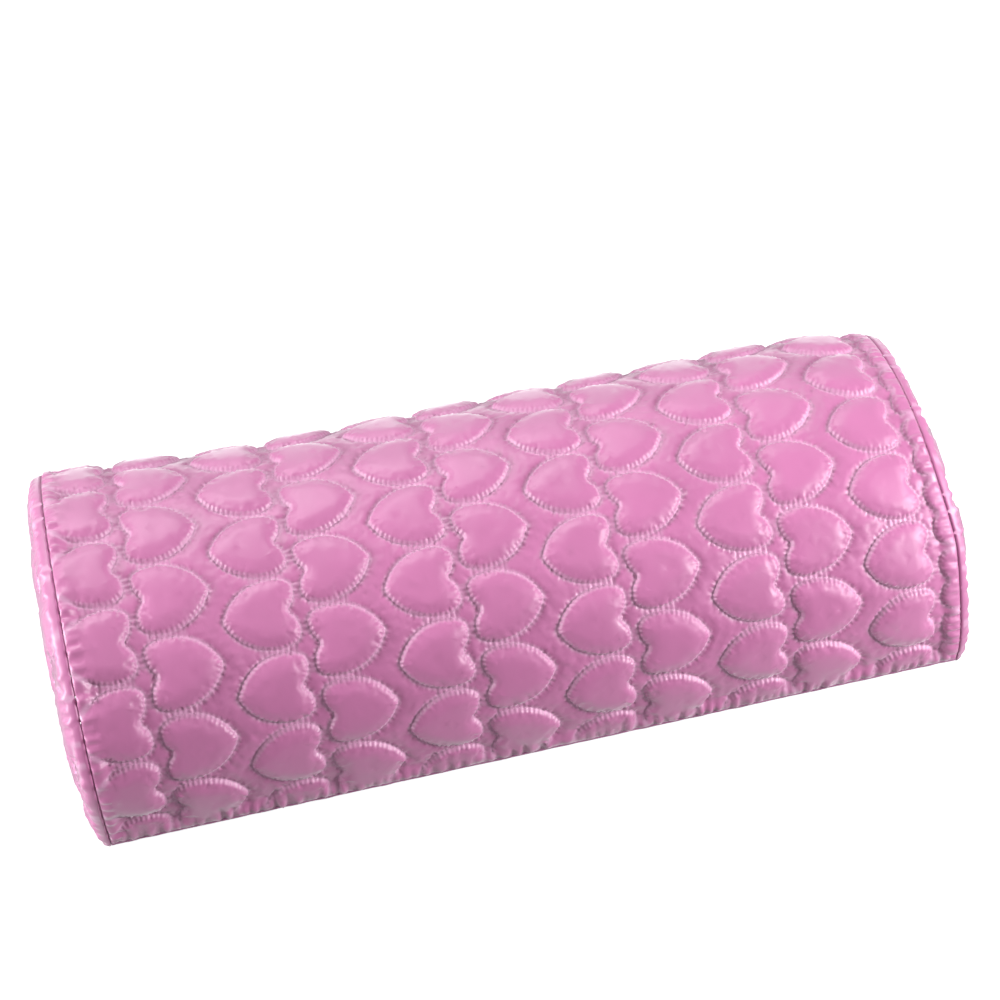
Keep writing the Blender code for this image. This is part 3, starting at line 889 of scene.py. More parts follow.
@dataclass
class QuiltMaker:
    """Makes a padded panel with crisp stitch lines from its flat outline."""

    level: float = 0.7 * MM
    heart_puff: float = 1.8 * MM
    heart_steepness: float = 3.2
    strip_puff: float = 0.5 * MM
    strip_swell: float = 0.3 * MM
    strip_shift: float = 0.35
    stitch_points: int = 180
    inner_rings: tuple[tuple[float, int], ...] = (
        *((0.35, 180), (0.8, 180), (1.4, 100), (2.2, 72)),
        *((3.2, 52), (4.5, 38), (6.0, 28), (8.0, 14)),
    )
    outer_rings: tuple[tuple[float, int], ...] = ((0.35, 180), (0.8, 140))
    filler_spacing: float = 1.4 * MM
    rim_rings: tuple[float, ...] = (0.5, 1.1, 1.8, 2.6, 3.6)
    seam_clear: float = 0.5 * MM
    ring_slack: tuple[float, float] = (0.06 * MM, 0.05)
    heart_clear: float = 8.8 * MM
    strip_clear: float = 1.4 * MM
    rim_clear: float = 0.8 * MM
    heart_hold: float = 0.2 * MM
    strip_hold: float = 1.0 * MM
    crease_reach: float = 1.2 * MM
    gather_reach: float = 7 * MM
    lining_step: float = 6 * MM
    pucker_rise: float = 0.2 * MM
    pucker_reach: float = 0.6 * MM
    pucker_sway: float = 0.12 * MM
    strip_crumple: float = 0.22 * MM
    heart_crumple: float = 0.12 * MM
    gather_rise: float = 0.32 * MM
    seam_dip: float = 1.6 * MM
    roll_width: float = 1.7 * MM
    roll_blend: tuple[float, float] = (2.2 * MM, 6.5 * MM)

    def rings(self, lines: StitchLines) -> tuple[np.ndarray, np.ndarray, int]:
        """Points around every heart.

        Args:
            lines: The stitch lines.

        Returns:
            All the points, and the offset that each was given, in metres and positive inside
            a heart; those on the stitches come first, stitch_points to a heart.
        """
        points, offsets = [], []
        rings = [*self.inner_rings, *((-offset, count) for offset, count in self.outer_rings)]
        for layer in ([(0.0, self.stitch_points)], rings):
            for middle, facing in lines.cells:
                for offset, count in layer:
                    pick = np.arange(count) * lines.fine // count
                    ring = lines.unit[pick] - lines.unit_normal[pick] * offset * MM
                    points.append(middle + ring * facing)
                    offsets.append(np.full(count, offset * MM))
        return np.concatenate(points), np.concatenate(offsets), self.stitch_points * len(lines.cells)


@dataclass
class Seam:
    """Height of a panel's rim, and of the roll beside it, over the stitches."""

    low: float
    high: float


@dataclass
class Panel:
    """A flat outline with its quilting, and where it lies on the cushion."""

    name: str
    outline: np.ndarray
    outer: Place
    inner: Place
    quilt: QuiltMaker
    table: PuffTable
    seam: Seam
    puff_scale: float = 1.0
    seed: int = 1
    moved: "ClothMotion | None" = None

    def build(self) -> bpy.types.Object:
        """Make the panel's mesh."""
        quilt, outline = self.quilt, self.outline
        lines = StitchLines(self.table.lattice, *box(outline))
        self.lines = lines
        self._index_rim()
        if self.moved is None:
            self.moved = ClothMotion.of(self)
        rings, offsets, on_stitch = quilt.rings(lines)
        keep = self.inside(rings) & (self.rim_fields(rings)[0] > quilt.rim_rings[-1] * MM + quilt.seam_clear)
        slack = quilt.ring_slack[0] + quilt.ring_slack[1] * np.abs(offsets)
        keep &= np.abs(lines.fields(rings)[0] - np.abs(offsets)) < slack
        number = np.cumsum(keep) - 1 + len(outline)
        edges = []
        count = quilt.stitch_points
        for start in range(0, on_stitch, count):
            loop = np.arange(start, start + count)
            after = np.roll(loop, -1)
            both = keep[loop] & keep[after]
            edges += list(zip(number[loop[both]].tolist(), number[after[both]].tolist()))
        rest = np.concatenate([rings[keep], self._rim_rings(), self._filler()])
        return self._close(*triangulate(outline, rest, edges))

    def _index_rim(self) -> None:
        """Keep the rim's points for finding the nearest."""
        self.rim_run = loop_runs(self.outline)[:-1]
        self.rim_tree = index_points(self.outline)
        self.ripple = Ripple(self.seed, 2.6 * MM, 9 * MM)
        self.crumple = Crumple(self.seed, *box(self.outline), (3.2 * MM, 2.4 * MM))

    def rim_fields(self, points: np.ndarray) -> tuple[np.ndarray, np.ndarray]:
        """Distance of each point to the rim, and the run along the rim there."""
        index = nearest(self.rim_tree, points)
        return self._exact_rim(points, index), self.rim_run[index]

    def _exact_rim(self, points: np.ndarray, index: np.ndarray) -> np.ndarray:
        """Distance to the two rim edges beside the nearest rim point."""
        best = np.full(len(points), np.inf)
        for step in (-1, 0):
            start = self.outline[(index + step) % len(self.outline)]
            run = self.outline[(index + step + 1) % len(self.outline)] - start
            share = ((points - start) * run).sum(axis=1) / (run * run).sum(axis=1)
            foot = start + share.clip(0, 1)[:, None] * run
            best = np.minimum(best, lengths(points - foot)[:, 0])
        return best

    def inside(self, points: np.ndarray) -> np.ndarray:
        """Whether each point is inside the convex outline."""
        inside = np.ones(len(points), dtype=bool)
        corners = self.outline[:: max(1, len(self.outline) // 160)]
        for start, end in zip(corners, np.roll(corners, -1, axis=0)):
            run = end - start
            inside &= run[0] * (points[:, 1] - start[1]) - run[1] * (points[:, 0] - start[0]) > 0
        return inside

    def _rim_rings(self) -> np.ndarray:
        """Rows of points just inside the rim."""
        edge = np.roll(self.outline, -1, axis=0) - self.outline
        edge /= lengths(edge)
        run = edge + np.roll(edge, 1, axis=0)
        run /= lengths(run)
        normal = np.stack([-run[:, 1], run[:, 0]], axis=1)
        rows = []
        for distance in self.quilt.rim_rings:
            row = self.outline + normal * distance * MM
            near, _ = self.rim_fields(row)
            rows.append(row[self.inside(row) & (near > 0.93 * distance * MM)])
        return np.concatenate(rows)

    def _dips(self) -> np.ndarray:
        """How far the rim draws back from the seam at each of its points, in a few places."""
        return (self.ripple.at(self.rim_run) - 1.1).clip(0, 1) * self.quilt.seam_dip

    def _filler(self) -> np.ndarray:
        """Points over the middles of the puffs and the wide parts of the strips."""
        spacing = self.quilt.filler_spacing
        low, high = box(self.outline)
        u = np.arange(low[0], high[0], spacing)
        v = np.arange(low[1], high[1], spacing * 0.866)
        grid = np.stack(np.meshgrid(u, v, indexing="ij"), axis=-1)
        grid[:, 1::2, 0] += spacing / 2
        points = grid.reshape(-1, 2)
        points = points[self.inside(points)]
        near_rim, _ = self.rim_fields(points)
        distance, inside, _, _ = self.lines.fields(points)
        past_rows = near_rim - self.quilt.rim_rings[-1] * MM
        clear = np.where(inside, self.quilt.heart_clear, self.quilt.strip_clear)
        free = (distance > clear) | ((past_rows < 1.0 * MM) & (distance > self.quilt.rim_clear))
        return points[free & (past_rows > 0.6 * MM)]

    def height(self, points: np.ndarray, fine: bool = True) -> tuple[np.ndarray, np.ndarray, np.ndarray]:
        """How far the outer side stands above the stitch level.

        Args:
            points: Points of the flat panel.
            fine: Whether the puckers at the stitches are wanted too.

        Returns:
            The height, the distance to the nearest stitch and the pucker wave there.
        """
        quilt = self.quilt
        distance, inside, wave, _ = self.lines.fields(points)
        rim_distance, rim_run = self.rim_fields(points)
        swell = self.table.at(points)
        near = 1 - np.exp(-((distance / np.where(inside, quilt.heart_hold, quilt.strip_hold)) ** 2))
        heart = quilt.heart_puff * (1 - np.exp(-swell / quilt.heart_steepness))
        strip = quilt.strip_puff * np.tanh(np.sqrt(swell.clip(0)) * quilt.strip_swell / quilt.strip_puff)
        puff = np.where(inside, heart, strip) * near * self.puff_scale
        if fine:
            reach = distance / quilt.pucker_reach
            puff += quilt.pucker_rise * wave * reach * np.exp(1 - reach) * self.puff_scale
            creases = self.crumple.at(points) * smooth_step(distance, 0, quilt.crease_reach)
            puff += creases * np.where(inside, quilt.heart_crumple, quilt.strip_crumple)
        roll = np.sqrt(1 - (1 - (rim_distance / quilt.roll_width).clip(0, 1)) ** 2)
        edge = self.seam.low + (self.seam.high - self.seam.low) * roll
        sewn = smooth_step(rim_distance, *quilt.roll_blend)
        gather = self.ripple.at(rim_run) * quilt.gather_rise
        fade = np.exp(-((rim_distance / quilt.gather_reach) ** 2))
        fade *= (rim_distance / quilt.crease_reach).clip(0, 1)
        height = edge * (1 - sewn) + (quilt.level * self.puff_scale + puff) * sewn + gather * fade
        return height, distance, wave

    def _close(self, places: np.ndarray, triangles: list[list[int]], rim: list[int]) -> bpy.types.Object:
        """Raise the outer side and close the panel with its lining."""
        height, distance, wave = self.height(places)
        _, inside, _, normal = self.lines.fields(places)
        rim_distance, _ = self.rim_fields(places)
        shift = np.zeros((len(places), 3))
        if self.moved is not None:
            free = smooth_step(distance, 0.05 * MM, 0.4 * MM) * smooth_step(rim_distance, 0, 2 * MM)
            shift = self.moved.at(places) * (free * np.where(inside, 1.0, self.quilt.strip_shift))[:, None]
        height[rim] = self.seam.low - self._dips()
        sway = self.quilt.pucker_sway * wave * np.exp(-((distance / self.quilt.pucker_reach) ** 2))
        shift[:, :2] += normal * (sway * smooth_step(rim_distance, 1 * MM, 4 * MM))[:, None]
        outside = self.outer(places + shift[:, :2], height + shift[:, 2])
        step = self.quilt.lining_step
        grid = flat_grid(*(np.arange(a + step, b, step) for a, b in zip(*box(self.outline))))
        grid = grid[self.inside(grid) & (self.rim_fields(grid)[0] > step / 2)]
        lining, lining_faces, back = triangulate(self.outline, grid, [])
        total = len(places)
        faces = [list(face) for face in triangles]
        faces += [[k + total for k in face[::-1]] for face in lining_faces]
        for k, other in enumerate(rim):
            faces.append([other, rim[k - 1], back[k - 1] + total, back[k] + total])
        points = np.concatenate([outside, self.inner(lining, np.zeros(len(lining)))])
        flat = np.concatenate([places, lining])
        apart = np.concatenate([distance / MM, np.full(len(lining), FAR_FROM_STITCH)])
        return new_piece(self.name, points, faces, flat, {STITCH_ATTRIBUTE: apart})


@dataclass
class ClothMotion:
    """How far Blender's Cloth moves a quilted panel that is swelled by its wadding.

    The panel is simulated flat and enlarged, sewn down along its stitches and its rim.
    """

    low: np.ndarray
    spacing: np.ndarray
    moves: np.ndarray

    GRID = 0.9 * MM
    ENLARGED = 20.0
    SEWN_WITHIN = 0.42
    CAP = 0.8 * MM
    FRAMES = 20
    SETTINGS = {
        "quality": 5,
        "mass": 0.02,
        "tension_stiffness": 5,
        "compression_stiffness": 5,
        "shear_stiffness": 1.5,
        "bending_stiffness": 0.02,
        "shrink_min": -0.025,
        "use_pressure": True,
        "uniform_pressure_force": 1.4,
    }

    @classmethod
    def of(cls, panel: "Panel") -> "ClothMotion":
        """Swell one panel.

        Args:
            panel: The panel, with its stitch lines and rim indexed.

        Returns:
            The moves of a grid over the panel.
        """
        low, high = box(panel.outline)
        counts = np.round((high - low) / cls.GRID).astype(int)
        bpy.ops.object.select_all(action="DESELECT")
        bpy.ops.mesh.primitive_grid_add(x_subdivisions=int(counts[0]), y_subdivisions=int(counts[1]), size=1)
        sheet = bpy.context.object
        flat = read_points(sheet.data)[:, :2]
        flat = low + (flat + 0.5) * (high - low)
        stitches = panel.lines.points[nearest(panel.lines.tree, flat)]
        on_line = lengths(stitches - flat)[:, 0] < cls.SEWN_WITHIN * cls.GRID
        flat[on_line] = stitches[on_line]
        rim_distance, _ = panel.rim_fields(flat)
        outside = ~panel.inside(flat)
        height, _, _ = panel.height(flat, fine=False)
        height[on_line & (rim_distance > panel.quilt.roll_blend[1])] = panel.quilt.level * panel.puff_scale
        start = np.column_stack([flat, height]) * cls.ENLARGED
        sheet.data.vertices.foreach_set("co", start.ravel())
        sheet.data.update()
        held = on_line | outside | (rim_distance < cls.GRID)
        sewn = sheet.vertex_groups.new(name="sewn")
        sewn.add(np.flatnonzero(held).tolist(), 1.0, "REPLACE")
        end = cls._swell(sheet)
        bpy.data.objects.remove(sheet, do_unlink=True)
        moves = ((end - start) / cls.ENLARGED).clip(-cls.CAP, cls.CAP)
        moves[outside] = 0
        LOG.info("%s swelled by up to %.2f mm", panel.name, np.abs(moves).max() / MM)
        grid = moves.reshape(counts[1] + 1, counts[0] + 1, 3).transpose(1, 0, 2)
        return cls(low, (high - low) / counts, grid)

    @classmethod
    def _swell(cls, sheet: bpy.types.Object) -> np.ndarray:
        """Run Cloth on a sheet and return where its points end."""
        cloth = sheet.modifiers.new("cloth", "CLOTH")
        for key, setting in cls.SETTINGS.items():
            setattr(cloth.settings, key, setting)
        cloth.settings.vertex_group_mass = "sewn"
        cloth.settings.effector_weights.gravity = 0
        cloth.collision_settings.use_collision = False
        scene = bpy.context.scene
        for number in range(1, cls.FRAMES + 1):
            scene.frame_set(number)
        select_only(sheet)
        bpy.ops.object.modifier_apply(modifier=cloth.name)
        end = read_points(sheet.data)
        scene.frame_set(1)
        return end

    def at(self, points: np.ndarray) -> np.ndarray:
        """The moves at points of the flat panel."""
        return between(self.moves, (points - self.low) / self.spacing)


@dataclass
class Stitching:
    """Dashes of sewing thread, collected into one piece."""

    name: str
    pitch: float = 1.9 * MM
    length: float = 1.4 * MM
    radius: float = 0.1 * MM
    rise: float = 0.05 * MM
    sink: float = 0.12 * MM
    clear: float = 2.6 * MM
    spines: list[np.ndarray] = field(default_factory=list)
    ups: list[np.ndarray] = field(default_factory=list)

    def offsets(self) -> np.ndarray:
        """Run of the five spine points about a dash's middle."""
        return np.array([-0.5, -0.3, 0.0, 0.3, 0.5]) * self.length

    def lifts(self) -> np.ndarray:
        """Height of the five spine points over the cloth."""
        return np.array([-self.sink, self.rise * 0.7, self.rise, self.rise * 0.7, -self.sink])

    def lay(self, place: Place, flat: np.ndarray, level: np.ndarray) -> None:
        """Lay dashes on a surface.

        Args:
            place: Maps flat points and heights onto the surface.
            flat: Spine points on the flat cloth, dashes by five by two.
            level: The cloth's height there, dashes by five.
        """
        points = flat.reshape(-1, 2)
        height = (level + self.lifts()).ravel()
        low, high = place(points, height), place(points, height + 0.2 * MM)
        up = high - low
        self.spines.append(low.reshape(-1, 5, 3))
        self.ups.append((up / lengths(up)).reshape(-1, 5, 3))

    def along_hearts(self, panel: Panel) -> None:
        """Sew round every heart of a panel."""
        lines = panel.lines
        run = loop_runs(lines.unit)
        count = round(run[-1] / self.pitch)
        places = ((np.arange(count) + 0.25) * run[-1] / count)[:, None] + self.offsets()
        dashes = along_loop(lines.unit, run, places % run[-1])
        flat = np.concatenate([middle + dashes * facing for middle, facing in lines.cells])
        points = flat.reshape(-1, 2)
        rim, _ = panel.rim_fields(points)
        free = (panel.inside(points) & (rim > self.clear)).reshape(-1, 5).all(axis=1)
        flat = flat[free]
        level = panel.height(flat.reshape(-1, 2))[0].reshape(-1, 5)
        self.lay(panel.outer, flat, level)

    def along_row(self, place: Place, half: float, arc: float, level: Level) -> None:
        """Sew a straight row along X, with longer stitches."""
        middles = np.arange(-half, half, self.pitch * 1.35)[:, None] + self.offsets() * 1.3
        flat = np.stack([middles, np.full_like(middles, arc)], axis=-1)
        self.lay(place, flat, level(flat.reshape(-1, 2)).reshape(-1, 5))

    def build(self, material: bpy.types.Material) -> None:
        """Make the collected dashes."""
        spine, up = np.concatenate(self.spines), np.concatenate(self.ups)
        along = np.gradient(spine, axis=1)
        side = np.cross(along, up)
        side /= lengths(side)
        ring = np.stack([side, up, -side, -up], axis=2) * self.radius
        rings = (spine[:, 1:4, None] + ring[:, 1:4]).reshape(len(spine), 12, 3)
        points = np.concatenate([spine[:, :1], rings, spine[:, 4:]], axis=1)
        unit = [(0, 1 + (k + 1) % 4, 1 + k) for k in range(4)]
        for row in (1, 5):
            unit += [(row + k, row + (k + 1) % 4, row + 4 + (k + 1) % 4) for k in range(4)]
            unit += [(row + k, row + 4 + (k + 1) % 4, row + 4 + k) for k in range(4)]
        unit += [(13, 9 + k, 9 + (k + 1) % 4) for k in range(4)]
        faces = (np.arange(len(spine))[:, None, None] * 14 + np.array(unit)).reshape(-1, 3)
        run = np.repeat([0, 0.2, 0.5, 0.8, 1.0], [1, 4, 4, 4, 1]) * self.length
        turn = np.concatenate([[0], np.tile(np.arange(4) * 0.25 * MM, 3), [0]])
        uv = np.tile(np.column_stack([run, turn]), (len(spine), 1))
        piece = new_piece(self.name, points.reshape(-1, 3), faces.tolist(), uv)
        dress(piece, material, Slot.SATIN, Body.CUSHION)
        LOG.info("%s: %d dashes", self.name, len(spine))


@dataclass
class Cover:
    """The quilted satin cover: the top panel and the two end panels."""

    arch: Arch
    slump: Slump
    end_thickness: float = 1.4 * MM
    touch: float = 0.05 * MM
    end_bulges: tuple[float, float] = (5.5 * MM, 3.5 * MM)
    end_bulge_rise: float = 14 * MM
    fold_width: float = 2.6 * MM
    seam_rise: float = 2.4 * MM
    rim_step: float = 0.75 * MM

    def __post_init__(self) -> None:
        """Relax the swelling of the top panel's hearts and of the ends' hearts."""
        self.quilt = QuiltMaker()
        lattice = HeartLattice(9.0 * MM - HALF_LENGTH, 12.7 * MM)
        middled = HeartLattice(-lattice.column_pitch / 2, (self.arch.rise - lattice.row_pitch) / 2)
        self.table, self.end_table = PuffTable(lattice), PuffTable(middled)

    def top_panel(self) -> Panel:
        """The panel that is bent over the core."""
        low = self.arch.front_arc(CLOTH_THICKNESS + self.touch)
        high = self.arch.rear_arc(ZIP_OPENING)
        half = HALF_LENGTH + self.touch
        along = np.linspace(-half, half, round(2 * HALF_LENGTH / self.rim_step) + 1)
        around = np.linspace(low, high, round((high - low) / self.rim_step) + 1)
        outline = (
            [(x, low) for x in along]
            + [(half, arc) for arc in around[1:]]
            + [(x, high) for x in along[::-1][1:]]
            + [(-half, arc) for arc in around[::-1][1:-1]]
        )

        def outer(points: np.ndarray, height: np.ndarray) -> np.ndarray:
            """The outer side on the arch."""
            return self.slump.bend(self.arch.place(points, height))

        def inner(points: np.ndarray, height: np.ndarray) -> np.ndarray:
            """The lining on the arch."""
            return outer(points, height - CLOTH_THICKNESS)

        seam = Seam(2.0 * MM, 2.9 * MM)
        return Panel("satin_top_panel", np.array(outline), outer, inner, self.quilt, self.table, seam, seed=3)

    def end_panel(self, side: int) -> Panel:
        """The D-shaped panel of one end."""
        arch = self.arch
        half_width, rise = arch.half_width + self.seam_rise, arch.rise + self.seam_rise
        arcs = np.linspace(0, arch.length, round(arch.length / self.rim_step) + 1)
        curve = arch.point(arcs[::-1], self.seam_rise)
        across = np.linspace(-half_width, half_width, round(2 * half_width / self.rim_step) + 1)
        base = np.stack([across[1:-1], np.zeros(len(across) - 2)], axis=1)
        outline = np.concatenate([curve, base])
        seat = HALF_LENGTH + 2 * self.touch
        end_bulge = self.end_bulges[side > 0]

        def outer(points: np.ndarray, height: np.ndarray) -> np.ndarray:
            """The outer side, bulged by the foam."""
            y, z = points[:, 0], points[:, 1].clip(0)
            spread = (np.abs(y) / half_width) ** arch.power + (z / rise) ** arch.power
            foot = 1 - (1 - (z / self.end_bulge_rise).clip(0, 1)) ** 2
            bulge = end_bulge * np.sqrt((1 - spread).clip(0)) * foot
            reach = seat + self.end_thickness + bulge + height
            return self.slump.bend(np.column_stack([side * reach, y, z]))

        def inner(points: np.ndarray, height: np.ndarray) -> np.ndarray:
            """The flat lining."""
            return self.slump.bend(np.column_stack([side * (seat + height), points]))

        name = "satin_end_left" if side < 0 else "satin_end_right"
        seam = Seam(-0.6 * MM, 0.9 * MM)
        return Panel(name, outline, outer, inner, self.quilt, self.end_table, seam, puff_scale=0.6, seed=5)

    def build(self, satin: bpy.types.Material, thread: bpy.types.Material) -> None:
        """Make the three panels and their stitches and dress them."""
        left, right = self.end_panel(-1), self.end_panel(1)
        hearts = Stitching("heart_stitches")
        panels = {"quilted_top_panel": self.top_panel(), "end_panel_left": left, "end_panel_right": right}
        for node, panel in panels.items():
            if panel is right:
                right.moved = left.moved
            piece = panel.build()
            if panel is left:
                piece.data.flip_normals()
            dress(piece, satin, Slot.SATIN, Body.CUSHION, node)
            LOG.info("%s: %d faces", piece.name, len(piece.data.polygons))
            hearts.along_hearts(panel)
        top = panels["quilted_top_panel"]
        fold = self.arch.rear_arc(ZIP_OPENING) - self.fold_width
        hearts.along_row(top.outer, HALF_LENGTH - 3 * MM, fold, lambda flat: top.height(flat)[0])
        hearts.build(thread)


@dataclass
class BaseCloth:
    """The plain satin base, turned up at the rear as the hem of the zip."""

    arch: Arch
    front_reach: float = 2.4 * MM
    edge: float = 0.6 * MM
    hem_height: float = 5 * MM
    hem_stitch: float = 3.3 * MM
    rounding: float = 0.5 * MM
    dent: float = 0.14
    dent_waves: float = 0.12
    hem_waves: float = 0.05

    def section(self) -> np.ndarray:
        """The closed section (y, z)."""
        arch = self.arch
        half = arch.half_width
        low, turned, high = (arch.rear_arc(z) for z in (self.edge, CLOTH_THICKNESS, self.hem_height))
        outside = arch.point(np.linspace(low, high, 12))
        inside = arch.point(np.linspace(high, turned, 12), -CLOTH_THICKNESS)
        front = -half - self.front_reach
        corners = [(front, CLOTH_THICKNESS), (front, 0), (half - 0.3 * MM, 0), *outside, *inside]
        return even_loop(corners, 1.1 * MM, 0.28 * MM)

    def build(self, cloth: bpy.types.Material, thread: bpy.types.Material) -> None:
        """Make the cloth and its hem stitches."""
        section = self.section()
        stations = close_stations(HALF_LENGTH, 1.8 * MM, self.rounding)
        grid = flat_grid(stations, section[:, 0])
        crumple = Crumple(11, *box(grid), (9 * MM, 5 * MM))
        waves = crumple.at(grid).reshape(len(stations), len(section))
        under = section[:, 1] < 0.3 * MM
        hem = section[:, 0] > self.arch.half_width - 3 * MM
        dents = -(self.dent + self.dent_waves * waves).clip(0)
        relief = np.where(under & ~hem, dents, waves * self.hem_waves * ~under) * MM
        piece = sweep("base_cloth", section, stations, self.rounding, relief)
        dress(piece, cloth, Slot.BASE, Body.CUSHION, "base_panel")
        width = float(loop_runs(section)[-1]) / 2 - CLOTH_THICKNESS
        row = Stitching("hem_stitches")
        arc = self.arch.rear_arc(self.hem_stitch)
        row.along_row(self.arch.place, HALF_LENGTH - 3 * MM, arc, lambda flat: np.zeros(len(flat)))
        row.build(thread)


@dataclass
class FoamBlock:
    """The half-round foam, cut back behind the zip."""

    arch: Arch
    slump: Slump
    zip_depth: float = 4.9 * MM
    zip_tuck: float = 6.2 * MM
    rounding: float = 1.2 * MM

    def build(self, foam: bpy.types.Material) -> None:
        """Make the block."""
        arch = self.arch
        start, end = arch.front_arc(FACE_DEPTH), arch.rear_arc(FACE_DEPTH)
        cut = arch.rear_arc(ZIP_OPENING) - self.zip_tuck
        outside = arch.point(np.linspace(start, cut, 60), -FACE_DEPTH)
        behind = arch.point(np.linspace(cut, end, 20), -self.zip_depth)
        outside[0, 1] = behind[-1, 1] = FACE_DEPTH
        section = even_loop([*outside, *behind], 2.2 * MM, 0.5 * MM)
        section[:, 1] = section[:, 1].clip(FACE_DEPTH)
        stations = close_stations(HALF_LENGTH, 3 * MM, self.rounding)
        piece = sweep("foam_block", section, stations, self.rounding)
        bent = self.slump.bend(read_points(piece.data))
        piece.data.vertices.foreach_set("co", bent.ravel())
        piece.data.update()
        dress(piece, foam, Slot.FOAM, Body.CUSHION, "foam_core")


@dataclass
class ZipDressing:
    """The coil zip along the rear lower edge."""

    arch: Arch
    half_length: float = 145.7 * MM
    height: float = 11 * MM
    gap: float = 0.3 * MM
    slot: float = 1.4 * MM
    tape_thickness: float = 0.6 * MM
    tape_tuck: float = 5 * MM
    coil_end: float = 129.9 * MM
    coil_pitch: float = 1.27 * MM
    coil_reach: tuple[float, float] = (0.5 * MM, 2.7 * MM)
    coil_rise: tuple[float, float] = (0.3 * MM, 1.9 * MM)
    wire: float = 0.5 * MM
    turn_points: int = 12
    wire_sides: int = 5
    rounding: float = 0.2 * MM

    def __post_init__(self) -> None:
        """Find the middle line of the chain."""
        self.middle = self.arch.rear_arc(self.height)

    def tape(self, name: str, cloth: bpy.types.Material) -> None:
        """Make one woven tape, upper or lower."""
        if name == "upper":
            ends = (self.arch.rear_arc(ZIP_OPENING) - self.tape_tuck, self.middle - self.slot / 2)
        else:
            ends = (self.middle + self.slot / 2, self.arch.rear_arc(CLOTH_THICKNESS + 2 * self.gap))
        arcs = np.linspace(*ends, 24)
        outside = self.arch.point(arcs, -FACE_DEPTH)
        inside = self.arch.point(arcs[::-1], -FACE_DEPTH - self.tape_thickness)
        section = even_loop([*outside, *inside], 0.4 * MM, 0.1 * MM)
        stations = close_stations(self.half_length, 2.5 * MM, self.rounding)
        piece = sweep(f"woven_tape_{name}", section, stations, self.rounding)
        dress(piece, cloth, Slot.TAPE, Body.CUSHION, f"zip_tape_{name}")

    def coil_row(self, name: str, nylon: bpy.types.Material) -> None:
        """Make one row of wound monofilament, upper or lower."""
        turns = round((2 * self.coil_end - self.wire) / self.coil_pitch)
        run = np.arange(turns * self.turn_points + 1) / self.turn_points
        side = -1 if name == "upper" else 1
        angle = 2 * math.pi * run + (math.pi if side < 0 else 0)

        def squared(wave: np.ndarray) -> np.ndarray:
            """A wave with flatter crests."""
            return np.sign(wave) * np.abs(wave) ** 0.7

        near, far = (reach + sign * self.wire / 2 for reach, sign in zip(self.coil_reach, (1, -1)))
        low, high = (rise + sign * self.wire / 2 for rise, sign in zip(self.coil_rise, (1, -1)))
        across = (near + far) / 2 - squared(np.cos(angle)) * (far - near) / 2
        rise = (low + high) / 2 + squared(np.sin(angle)) * (high - low) / 2
        x = (run / turns * 2 - 1) * (self.coil_end - self.wire / 2)
        spine = np.column_stack([x, self.arch.point(self.middle + side * across, rise - FACE_DEPTH)])
        middle = np.array([self.middle + side * (near + far) / 2])
        axis = self.arch.point(middle, (low + high) / 2 - FACE_DEPTH)
        along = np.gradient(spine, axis=0)
        along /= lengths(along)
        out = np.column_stack([np.zeros(len(x)), spine[:, 1:] - axis])
        out -= (out * along).sum(axis=1, keepdims=True) * along
        out /= lengths(out)
        cross = np.cross(along, out)
        turn = np.arange(self.wire_sides) * 2 * math.pi / self.wire_sides
        ring = out[:, None] * np.cos(turn)[:, None] + cross[:, None] * np.sin(turn)[:, None]
        points = (spine[:, None] + ring * self.wire / 2).reshape(-1, 3)
        piece = new_piece(f"coil_row_{name}", points, tube_faces(len(x), self.wire_sides))
        dress(piece, nylon, Slot.COIL, Body.CUSHION, f"zip_coil_{name}")

    def metal_parts(self, metal: bpy.types.Material) -> None:
        """Make the slider, its pull and the stops with softened edges."""
        edge = 0.25 * MM
        for node, name, width, body in (
            ("zip_slider", "slider_body", 0.14 * MM, Body.SLIDER),
            ("zip_pull", "pull_tab", 0.1 * MM, Body.PULL),
            ("zip_top_stop_upper", "top_stop_upper", edge, Body.CUSHION),
            ("zip_top_stop_lower", "top_stop_lower", edge, Body.CUSHION),
            ("zip_bottom_stop", "bottom_stop", edge, Body.CUSHION),
        ):
            piece = copy_node(node, name)
            soften_edges(piece, width)
            dress(piece, metal, Slot.METAL, body, node)

    def build(self, cloth: bpy.types.Material, nylon: bpy.types.Material, metal: bpy.types.Material) -> None:
        """Make every part of the zip."""
        for name in ("upper", "lower"):
            self.tape(name, cloth)
            self.coil_row(name, nylon)
        self.metal_parts(metal)


# Studio


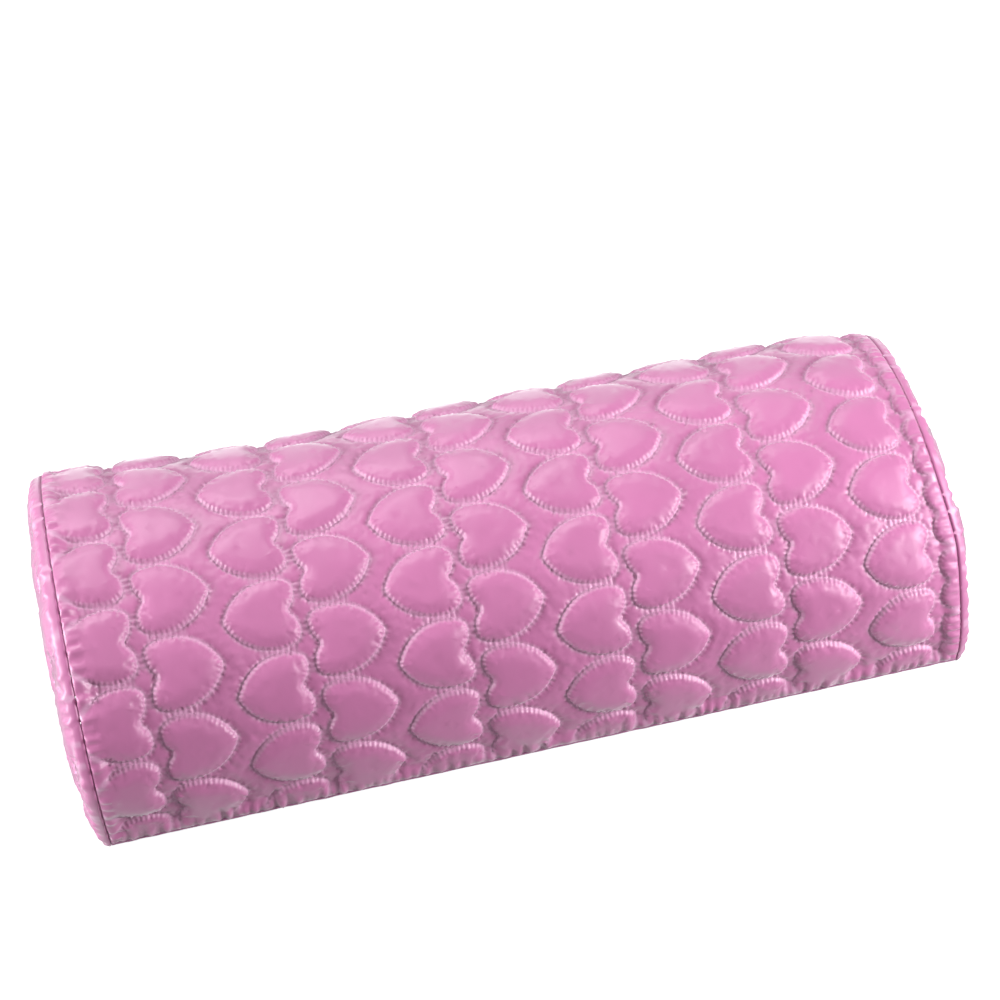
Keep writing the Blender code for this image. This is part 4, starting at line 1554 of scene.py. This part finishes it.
@dataclass
class Studio:
    """Camera, soft lights, floor and world."""

    lens: float = 81.72
    eye: tuple[float, float, float] = (-0.10251, -0.41024, 0.67555)
    yaw: float = 14.1155
    pitch: float = 55.6825
    roll: float = 0.2327

    def camera(self) -> None:
        """Stand the camera where the photograph was taken."""
        yaw, pitch, roll = (math.radians(angle) for angle in (self.yaw, self.pitch, self.roll))
        forward = Vector((math.sin(yaw) * math.cos(pitch), math.cos(yaw) * math.cos(pitch), -math.sin(pitch)))
        level = Vector((math.cos(yaw), -math.sin(yaw), 0))
        upright = level.cross(forward)
        right = math.cos(roll) * level + math.sin(roll) * upright
        up = -math.sin(roll) * level + math.cos(roll) * upright
        data = bpy.data.cameras.new("photo_camera")
        data.lens = self.lens
        data.clip_start = 0.01
        camera = bpy.data.objects.new("photo_camera", data)
        turn = Matrix((right, up, -forward)).transposed().to_4x4()
        camera.matrix_world = Matrix.Translation(self.eye) @ turn
        bpy.context.scene.collection.objects.link(camera)
        bpy.context.scene.camera = camera

    def softbox(self, name: str, place: Spot, target: Spot, size: tuple[float, float], power: float) -> None:
        """Hang an area light that looks at a point."""
        data = bpy.data.lights.new(name, "AREA")
        data.shape = "RECTANGLE"
        data.size, data.size_y = size
        data.energy = power
        light = bpy.data.objects.new(name, data)
        light.location = place
        light.rotation_euler = (Vector(place) - Vector(target)).to_track_quat("Z", "Y").to_euler()
        bpy.context.scene.collection.objects.link(light)

    def lights(self) -> None:
        """Light the object as in a light tent."""
        self.softbox("rear_box", (-0.28, 0.82, 0.96), (0, 0.02, 0.03), (1.3, 0.45), 9.3)
        self.softbox("left_box", (-1.1, 0.05, 0.26), (-0.1, 0, 0.03), (0.5, 0.5), 12.5)
        self.softbox("right_box", (0.6, -0.24, 0.34), (0.13, -0.02, 0.04), (0.34, 0.3), 4.8)
        self.softbox("camera_box", (-0.15, -0.3, 1.3), (0, 0, 0.03), (0.8, 0.4), 0.7)

    def world(self) -> None:
        """White behind the object, and a weak even light on it."""
        graph = Graph(bpy.data.worlds.new("tent"))
        white = graph.node("ShaderNodeBackground", {}, {"Color": (1, 1, 1, 1), "Strength": 1.0})
        weak = graph.node("ShaderNodeBackground", {}, {"Color": (1.0, 0.97, 1.0, 1), "Strength": 0.1})
        mix = graph.node("ShaderNodeMixShader", {}, {0: graph.seen_directly(), 1: weak, 2: white})
        bpy.context.scene.world = graph.close(mix, "ShaderNodeOutputWorld")

    def floor(self) -> None:
        """A pale floor that keeps the object's shadow."""
        bpy.ops.object.select_all(action="DESELECT")
        bpy.ops.mesh.primitive_plane_add(size=6)
        floor = bpy.context.object
        floor.name = "studio_floor"
        graph = Graph.material("studio_floor")
        glow = graph.node("ShaderNodeEmission", {}, {"Color": (1, 1, 1, 1), "Strength": 0.82})
        paint = graph.node("ShaderNodeBsdfDiffuse", {}, {"Color": (0.55, 0.55, 0.55, 1)})
        shown = graph.node("ShaderNodeAddShader", {}, {0: glow, 1: paint})
        dim = graph.node("ShaderNodeBsdfDiffuse", {}, {"Color": (0.1, 0.095, 0.1, 1)})
        mix = graph.node("ShaderNodeMixShader", {}, {0: graph.seen_directly(), 1: dim, 2: shown})
        floor.data.materials.append(graph.close(mix))
        floor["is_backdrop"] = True

    def build(self) -> None:
        """Set up the studio."""
        self.camera()
        self.lights()
        self.world()
        self.floor()
        bpy.context.scene.view_settings.view_transform = "Standard"


def corners(box: Iterable[Sequence[float]]) -> list[list[float]]:
    """A box's two corners as plain lists."""
    return [[float(part) for part in corner] for corner in box]


def main() -> None:
    """Build the studio and every piece."""
    logging.basicConfig(level=logging.INFO, format="%(message)s")
    cad_box = corners(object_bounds())
    Studio().build()
    arch, slump = Arch(), Slump()
    thread = SewingThread().build()
    Cover(arch, slump).build(QuiltedSatin().build(), thread)
    BaseCloth(arch).build(PlainSatin().build(), thread)
    FoamBlock(arch, slump).build(FoamCells().build())
    ZipDressing(arch).build(WovenTape().build(), CoilNylon().build(), PlatedMetal().build())
    bpy.context.view_layer.update()
    {"cad": cad_box, "visual": corners(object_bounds())}


if __name__ == "__main__":
    main()
